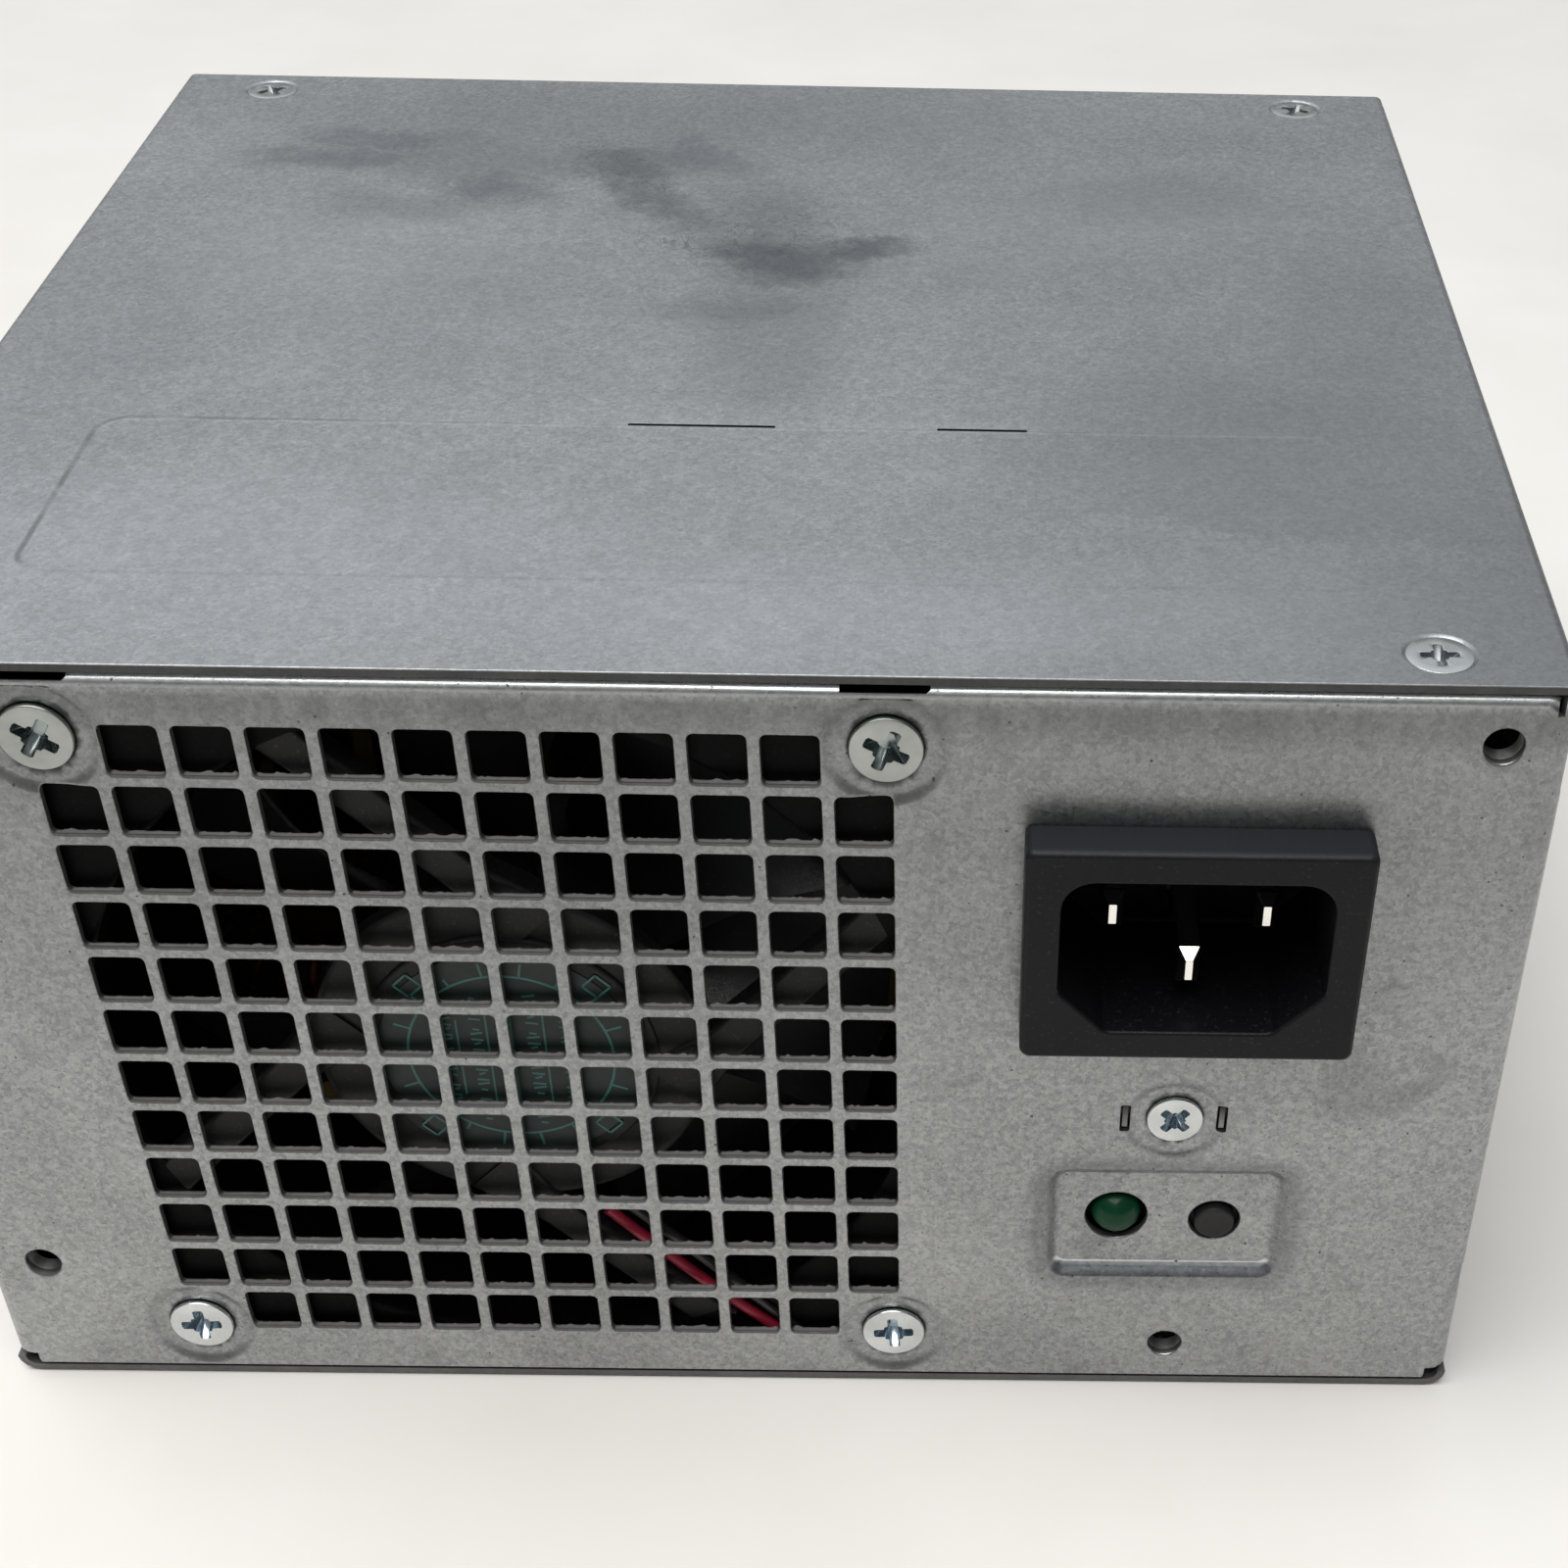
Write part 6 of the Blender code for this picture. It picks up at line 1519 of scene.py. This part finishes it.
def plug(name, node, x, d, z, facing, columns, rows, pitch, cell, latch):
    """Multi-way housing: chimneys with keyed corners, a latch and ribs."""
    body = loft([[(px, py, h) for px, py in rrect(sum(x) / 2, sum(d) / 2, x[1] - x[0], d[1] - d[0], 0.5, 3)]
                 for h in (z[0], z[1])])
    tools = []
    for i in range(columns):
        for j in range(rows):
            u = (i - (columns - 1) / 2) * pitch
            w = sum(z) / 2 + (j - (rows - 1) / 2) * pitch
            h = cell / 2
            if facing == "x":
                # square or half-round cells, as on keyed housings
                pr = rrect(sum(d) / 2 + u, w, cell, cell, 0.9 if (i + j) % 3 else 0.2, 3)
                tools.append(loft([[(e, a, b) for a, b in pr] for e in (x[1] - 6, x[1] + 1)]))
                pr = rrect(sum(d) / 2 + u, w, cell * 0.5, cell * 0.5, 0.3, 2)
                tools.append(loft([[(e, a, b) for a, b in pr] for e in (x[0] - 1, x[1] - 5)]))
            else:
                pr = rrect(sum(x) / 2 + u, w, cell, cell, 0.9 if (i + j) % 3 else 0.2, 3)
                tools.append(loft([[(a, e, b) for a, b in pr] for e in (d[1] - 6, d[1] + 1)]))
                pr = rrect(sum(x) / 2 + u, w, cell * 0.5, cell * 0.5, 0.3, 2)
                tools.append(loft([[(a, e, b) for a, b in pr] for e in (d[0] - 1, d[1] - 5)]))
    # grooves between the chimneys near the mating face
    for i in range(1, columns):
        u = (i - columns / 2) * pitch
        if facing == "x":
            c = sum(d) / 2 + u
            for q in ((z[0] - 1, z[0] + 0.45), (z[1] - 0.45, z[1] + 1)):
                tools.append(box_mesh((x[1] - 7, x[1] + 1), (c - 0.3, c + 0.3), q))
        else:
            c = sum(x) / 2 + u
            for q in ((z[0] - 1, z[0] + 0.45), (z[1] - 0.45, z[1] + 1)):
                tools.append(box_mesh((c - 0.3, c + 0.3), (d[1] - 7, d[1] + 1), q))
    v_, f_ = carve(*body, tools, 0.12, 2, 40)
    v_, f_ = merged((v_, f_), latch) if latch else (v_, f_)
    finish_mesh(name, placed(v_, IDENTITY), f_, M["nylon"], "case", (node,), sharp=35)


mx, md_, mz = zip(*nbox("main_connector"))


def arm(points, width_axis, half):
    """Bent strip: points in the plane across width_axis."""
    outline_ = points
    rings_ = []
    for s in (-half, half):
        if width_axis == "d":
            rings_.append([(a, 180 + s, b) for a, b in outline_])
        else:
            rings_.append([(-64 + s, a, b) for a, b in outline_])
    return loft(rings_)


latch_main = arm([(mx[0] + 3, mz[1] - 0.1), (mx[0] + 3, mz[1] + 1.5), (mx[0] + 1, mz[1] + 2.2), (mx[0] + 1, mz[1] + 3.0),
                  (mx[1] - 3, mz[1] + 2.6), (mx[1] - 0.4, mz[1] + 2.2), (mx[1] - 0.4, mz[1] + 1.0),
                  (mx[1] - 2.6, mz[1] + 1.3), (mx[0] + 5, mz[1] + 1.4), (mx[0] + 5, mz[1] - 0.1)], "d", 2.6)
plug("main_plug", "main_connector", mx, md_, mz, "x", 12, 2, 4.2, 3.0, latch_main)
px_, pd_, pz_ = zip(*nbox("cpu_connector"))
latch_cpu = arm([(pd_[0] + 3, pz_[1] - 0.1), (pd_[0] + 3, pz_[1] + 1.5), (pd_[0] + 1, pz_[1] + 2.2), (pd_[0] + 1, pz_[1] + 3.0),
                 (pd_[1] - 3, pz_[1] + 2.6), (pd_[1] - 0.4, pz_[1] + 2.2), (pd_[1] - 0.4, pz_[1] + 1.0),
                 (pd_[1] - 2.6, pz_[1] + 1.3), (pd_[0] + 5, pz_[1] + 1.4), (pd_[0] + 5, pz_[1] - 0.1)], "x", 2.6)
plug("cpu_plug", "cpu_connector", px_, pd_, pz_, "y", 4, 2, 4.2, 3.0, latch_cpu)

# drive power plug: thin L-keyed mouth, wires from the side
sx_, sd_, sz_ = zip(*nbox("sata_connector"))
body = loft([[(px, py, h) for px, py in rrect(sum(sx_) / 2, sum(sd_) / 2, sx_[1] - sx_[0], sd_[1] - sd_[0], 0.6, 3)]
             for h in (sz_[0], sz_[1])])
mouth = box_mesh((sx_[1] - 5, sx_[1] + 1), (sd_[0] + 1.6, sd_[1] - 1.6), (sum(sz_) / 2 - 1.1, sum(sz_) / 2 + 1.1))
key = box_mesh((sx_[1] - 5, sx_[1] + 1), (sd_[0] + 1.6, sd_[0] + 3.2), (sum(sz_) / 2 - 2.4, sum(sz_) / 2 + 1.1))
ribs = [box_mesh((sx_[0] + 1.2 + 1.6 * k, sx_[0] + 1.9 + 1.6 * k), (sd_[0] - 1, sd_[0] + 0.4), (sz_[0] + 1, sz_[1] - 1))
        for k in range(3)] + \
       [box_mesh((sx_[0] + 1.2 + 1.6 * k, sx_[0] + 1.9 + 1.6 * k), (sd_[1] - 0.4, sd_[1] + 1), (sz_[0] + 1, sz_[1] - 1))
        for k in range(3)]
backs = [box_mesh((sx_[0] - 1, sx_[0] + 3), (188.9 + 4 * k, 191.1 + 4 * k), (2.5, 4.7)) for k in range(5)]
v, f = carve(*body, [mouth, key] + ribs + backs, 0.12, 2, 40)
finish_mesh("sata_plug", placed(v, IDENTITY), f, M["nylon"], "case", ("sata_connector",), sharp=35)

# ------------------------------------------------------------------- internals
def capacitor(name, node, mat="sleeve"):
    lo_, hi_ = nbox(node)
    r = (hi_[0] - lo_[0]) / 2
    h = hi_[2] - lo_[2]
    v_, f_ = lathe([(0, 0), (r - 0.5, 0), (r, 0.5), (r, 1.6), (r - 0.55, 2.3), (r - 0.55, 2.9), (r, 3.6), (r, h - 0.5),
                    (r - 0.25, h - 0.1), (r - 0.9, h), (r - 1.3, h - 0.15), (r - 1.5, h - 0.3), (0, h - 0.3)], 48)
    idx = [1 if all(v_[i][2] > h - 0.35 and math.hypot(v_[i][0], v_[i][1]) < r - 1.1 for i in face) else 0 for face in f_]
    finish_mesh(name, placed(v_, up_axis((lo_[0] + hi_[0]) / 2, (lo_[1] + hi_[1]) / 2, lo_[2])), f_,
                [M[mat], M["alu"]], "case", (node,), mat_index=idx)


capacitor("bulk_can", "bulk_capacitor")
capacitor("output_can_1", "output_capacitor_1")
capacitor("output_can_2", "output_capacitor_2")


def toroid(name, node, turns, wire_r):
    """Wound ring: core torus with separate turns of enamelled wire."""
    lo_, hi_ = nbox(node)
    size = [h - l for l, h in zip(lo_, hi_)]
    c = Vector([(l + h) / 2 for l, h in zip(lo_, hi_)])
    thin = size.index(min(size))
    minor = size[thin] / 2
    major = max(size) / 2 - minor
    axes = {0: (Vector((0, 1, 0)), Vector((0, 0, 1)), Vector((1, 0, 0))),
            1: (Vector((1, 0, 0)), Vector((0, 0, 1)), Vector((0, 1, 0))),
            2: (Vector((1, 0, 0)), Vector((0, 1, 0)), Vector((0, 0, 1)))}[thin]
    core_m = minor - 2 * wire_r
    parts = []
    n, m = 48, 16
    verts_, faces_ = [], []
    for i in range(n):
        a = 2 * math.pi * i / n
        radial = axes[0] * math.cos(a) + axes[1] * math.sin(a)
        for j in range(m):
            b = 2 * math.pi * j / m
            verts_.append(c + radial * (major + core_m * math.cos(b)) + axes[2] * core_m * math.sin(b))
    for i in range(n):
        for j in range(m):
            i2, j2 = (i + 1) % n, (j + 1) % m
            faces_.append((i * m + j, i2 * m + j, i2 * m + j2, i * m + j2))
    idx = [0] * len(faces_)
    steps = turns * 14
    run = []
    for s in range(steps):
        a = 2 * math.pi * s / steps * 0.94
        b = 2 * math.pi * turns * s / steps
        radial = axes[0] * math.cos(a) + axes[1] * math.sin(a)
        rr = core_m + wire_r
        run.append(c + radial * (major + rr * math.cos(b)) + axes[2] * rr * math.sin(b))
    tv, tf = tube(run, wire_r * 0.95, 6)
    v_, f_ = merged((verts_, faces_), (tv, tf))
    idx += [1] * len(tf)
    finish_mesh(name, placed(v_, IDENTITY), f_, [M["ferrite"], M["copper"]], "case", (node,), mat_index=idx,
                sharp=60)


toroid("output_coil", "output_choke", 26, 0.7)
toroid("filter_coil", "emi_choke", 22, 0.6)

# --------------------------------------------------------------------- materials of carried-over CAD nodes
BY_SLOT = {"case_steel": "rear", "cover_steel": "cover", "zinc_screw": "zinc", "inlet_plastic": "inlet",
           "fan_plastic": "fan", "plated_pin": "pin", "bearing_bronze": "bronze", "copper": "copper",
           "wire_red": "red", "wire_black": "black", "wire_brown": "brown", "wire_blue": "blue",
           "wire_earth": "green", "board_laminate": "board", "led_green": "led", "button_grey": "button",
           "epoxy_black": "epoxy", "insulator_film": "film", "fuse_ceramic": "ceramic",
           "capacitor_sleeve": "sleeve", "yellow_tape": "tape", "ferrite": "ferrite",
           "heatsink_aluminium": "alu", "grommet_rubber": "rubber", "cable_sleeving": "braid",
           "connector_nylon": "nylon"}
for sub in frame["record"]["subparts"]:
    node = frame["nodes"][sub["node"]]
    node.data.materials.clear()
    node.data.materials.append(M["bracket" if sub["node"] == "status_bracket" else BY_SLOT[sub["material_slot"]]])
    for p in node.data.polygons:
        p.material_index = 0

# ------------------------------------------------------------------------ stage
scene = bpy.context.scene
bm = bmesh.new()
bmesh.ops.create_grid(bm, x_segments=1, y_segments=1, size=4.0)
floor_mesh = bpy.data.meshes.new("floor")
bm.to_mesh(floor_mesh)
bm.free()
floor = bpy.data.objects.new("floor", floor_mesh)
floor.location = (0, 0, -0.0002)
scene.collection.objects.link(floor)
fm, fnt, fb = new_material("floor_paper")
fvec = coords(fnt)
fnt.links.new(mix(fnt, maprange(fnt, noise(fnt, fvec, 14.0, 4.0, 0.6), 0.3, 0.7, 0, 1), (0.74, 0.715, 0.685),
                  (0.80, 0.78, 0.75)), fb.inputs["Base Color"])
fb.inputs["Roughness"].default_value = 0.7
floor_mesh.materials.append(fm)

world = bpy.data.worlds.new("studio")
scene.world = world
world.use_nodes = True
wnt = world.node_tree
bg = wnt.nodes["Background"]
tc = wnt.nodes.new("ShaderNodeTexCoord")
sep = wnt.nodes.new("ShaderNodeSeparateXYZ")
wnt.links.new(tc.outputs["Generated"], sep.inputs[0])
# bright ceiling that falls off towards the horizon, dimmer on the camera's side
rise = maprange(wnt, sep.outputs["Z"], 0.20, 0.66, 0.0, 1.0, True)
behind = mix(wnt, rise, (0.15, 0.155, 0.155), (0.90, 0.935, 0.96))
toward = mix(wnt, rise, (0.070, 0.073, 0.075), (0.36, 0.375, 0.39))
sidew = maprange(wnt, sep.outputs["Y"], -0.35, 0.25, 0.0, 1.0, True)
lean = maprange(wnt, sep.outputs["X"], -0.5, 0.5, 1.12, 0.80)
both = mix(wnt, sidew, toward, behind)
tint = nd(wnt, "ShaderNodeVectorMath", _operation="SCALE")
wnt.links.new(both, tint.inputs[0])
wnt.links.new(lean, tint.inputs["Scale"])
wnt.links.new(tint.outputs["Vector"], bg.inputs["Color"])
bg.inputs["Strength"].default_value = 0.85


def area(name, where, aim, size, power, colour=(1, 1, 1)):
    data = bpy.data.lights.new(name, "AREA")
    data.shape = "RECTANGLE"
    data.size, data.size_y = size
    data.energy = power
    data.color = colour
    o = bpy.data.objects.new(name, data)
    o.location = Vector(where)
    o.rotation_euler = (Vector(aim) - Vector(where)).to_track_quat("-Z", "Y").to_euler()
    scene.collection.objects.link(o)
    return o


area("key", (-0.22, -0.34, 1.25), (0, -0.08, 0.0), (1.3, 0.9), 19.0, (1.0, 0.985, 0.96))

# ----------------------------------------------------------------------- camera
# Standing in front of the rear panel, looking down at 41 degrees.  The picture
# is a crop of a wider one, so the lens is shifted.
CAM_AT = (0.023549, -0.173476 + REAR * MM, 0.192383)
cam_data = bpy.data.cameras.new("camera")
cam = bpy.data.objects.new("camera", cam_data)
scene.collection.objects.link(cam)
right_v = Vector((0.99979, -0.00346, 0.02017))
down_v = Vector((0.01289, -0.65909, -0.75195))
fwd_v = Vector((0.0159, 0.75205, -0.65891))
rot = Matrix((right_v, -down_v, -fwd_v)).transposed()
cam.matrix_world = Matrix.Translation(CAM_AT) @ rot.to_4x4()
cam_data.sensor_width = 36.0
cam_data.lens = 2479.0 * 36.0 / 1600.0
cam_data.clip_start, cam_data.clip_end = 0.005, 20.0
for path, value in (("shift_x", -(1021.2 - 800.0) / 1600.0), ("shift_y", (1116.5 - 800.0) / 1600.0)):
    drv = cam_data.driver_add(path).driver
    drv.type = "SCRIPTED"
    var = drv.variables.new()
    var.name = "ty"
    var.type = "TRANSFORMS"
    var.targets[0].id = cam
    var.targets[0].transform_type = "LOC_Y"
    var.targets[0].transform_space = "WORLD_SPACE"
    var2 = drv.variables.new()
    var2.name = "tz"
    var2.type = "TRANSFORMS"
    var2.targets[0].id = cam
    var2.targets[0].transform_type = "LOC_Z"
    var2.targets[0].transform_space = "WORLD_SPACE"
    drv.expression = (f"{value:.6f} if abs(ty - ({CAM_AT[1]:.6f})) < 0.0005 and "
                      f"abs(tz - {CAM_AT[2]:.6f}) < 0.0005 else 0.0")
scene.camera = cam
scene.view_settings.view_transform = "Standard"
scene.view_settings.look = "None"
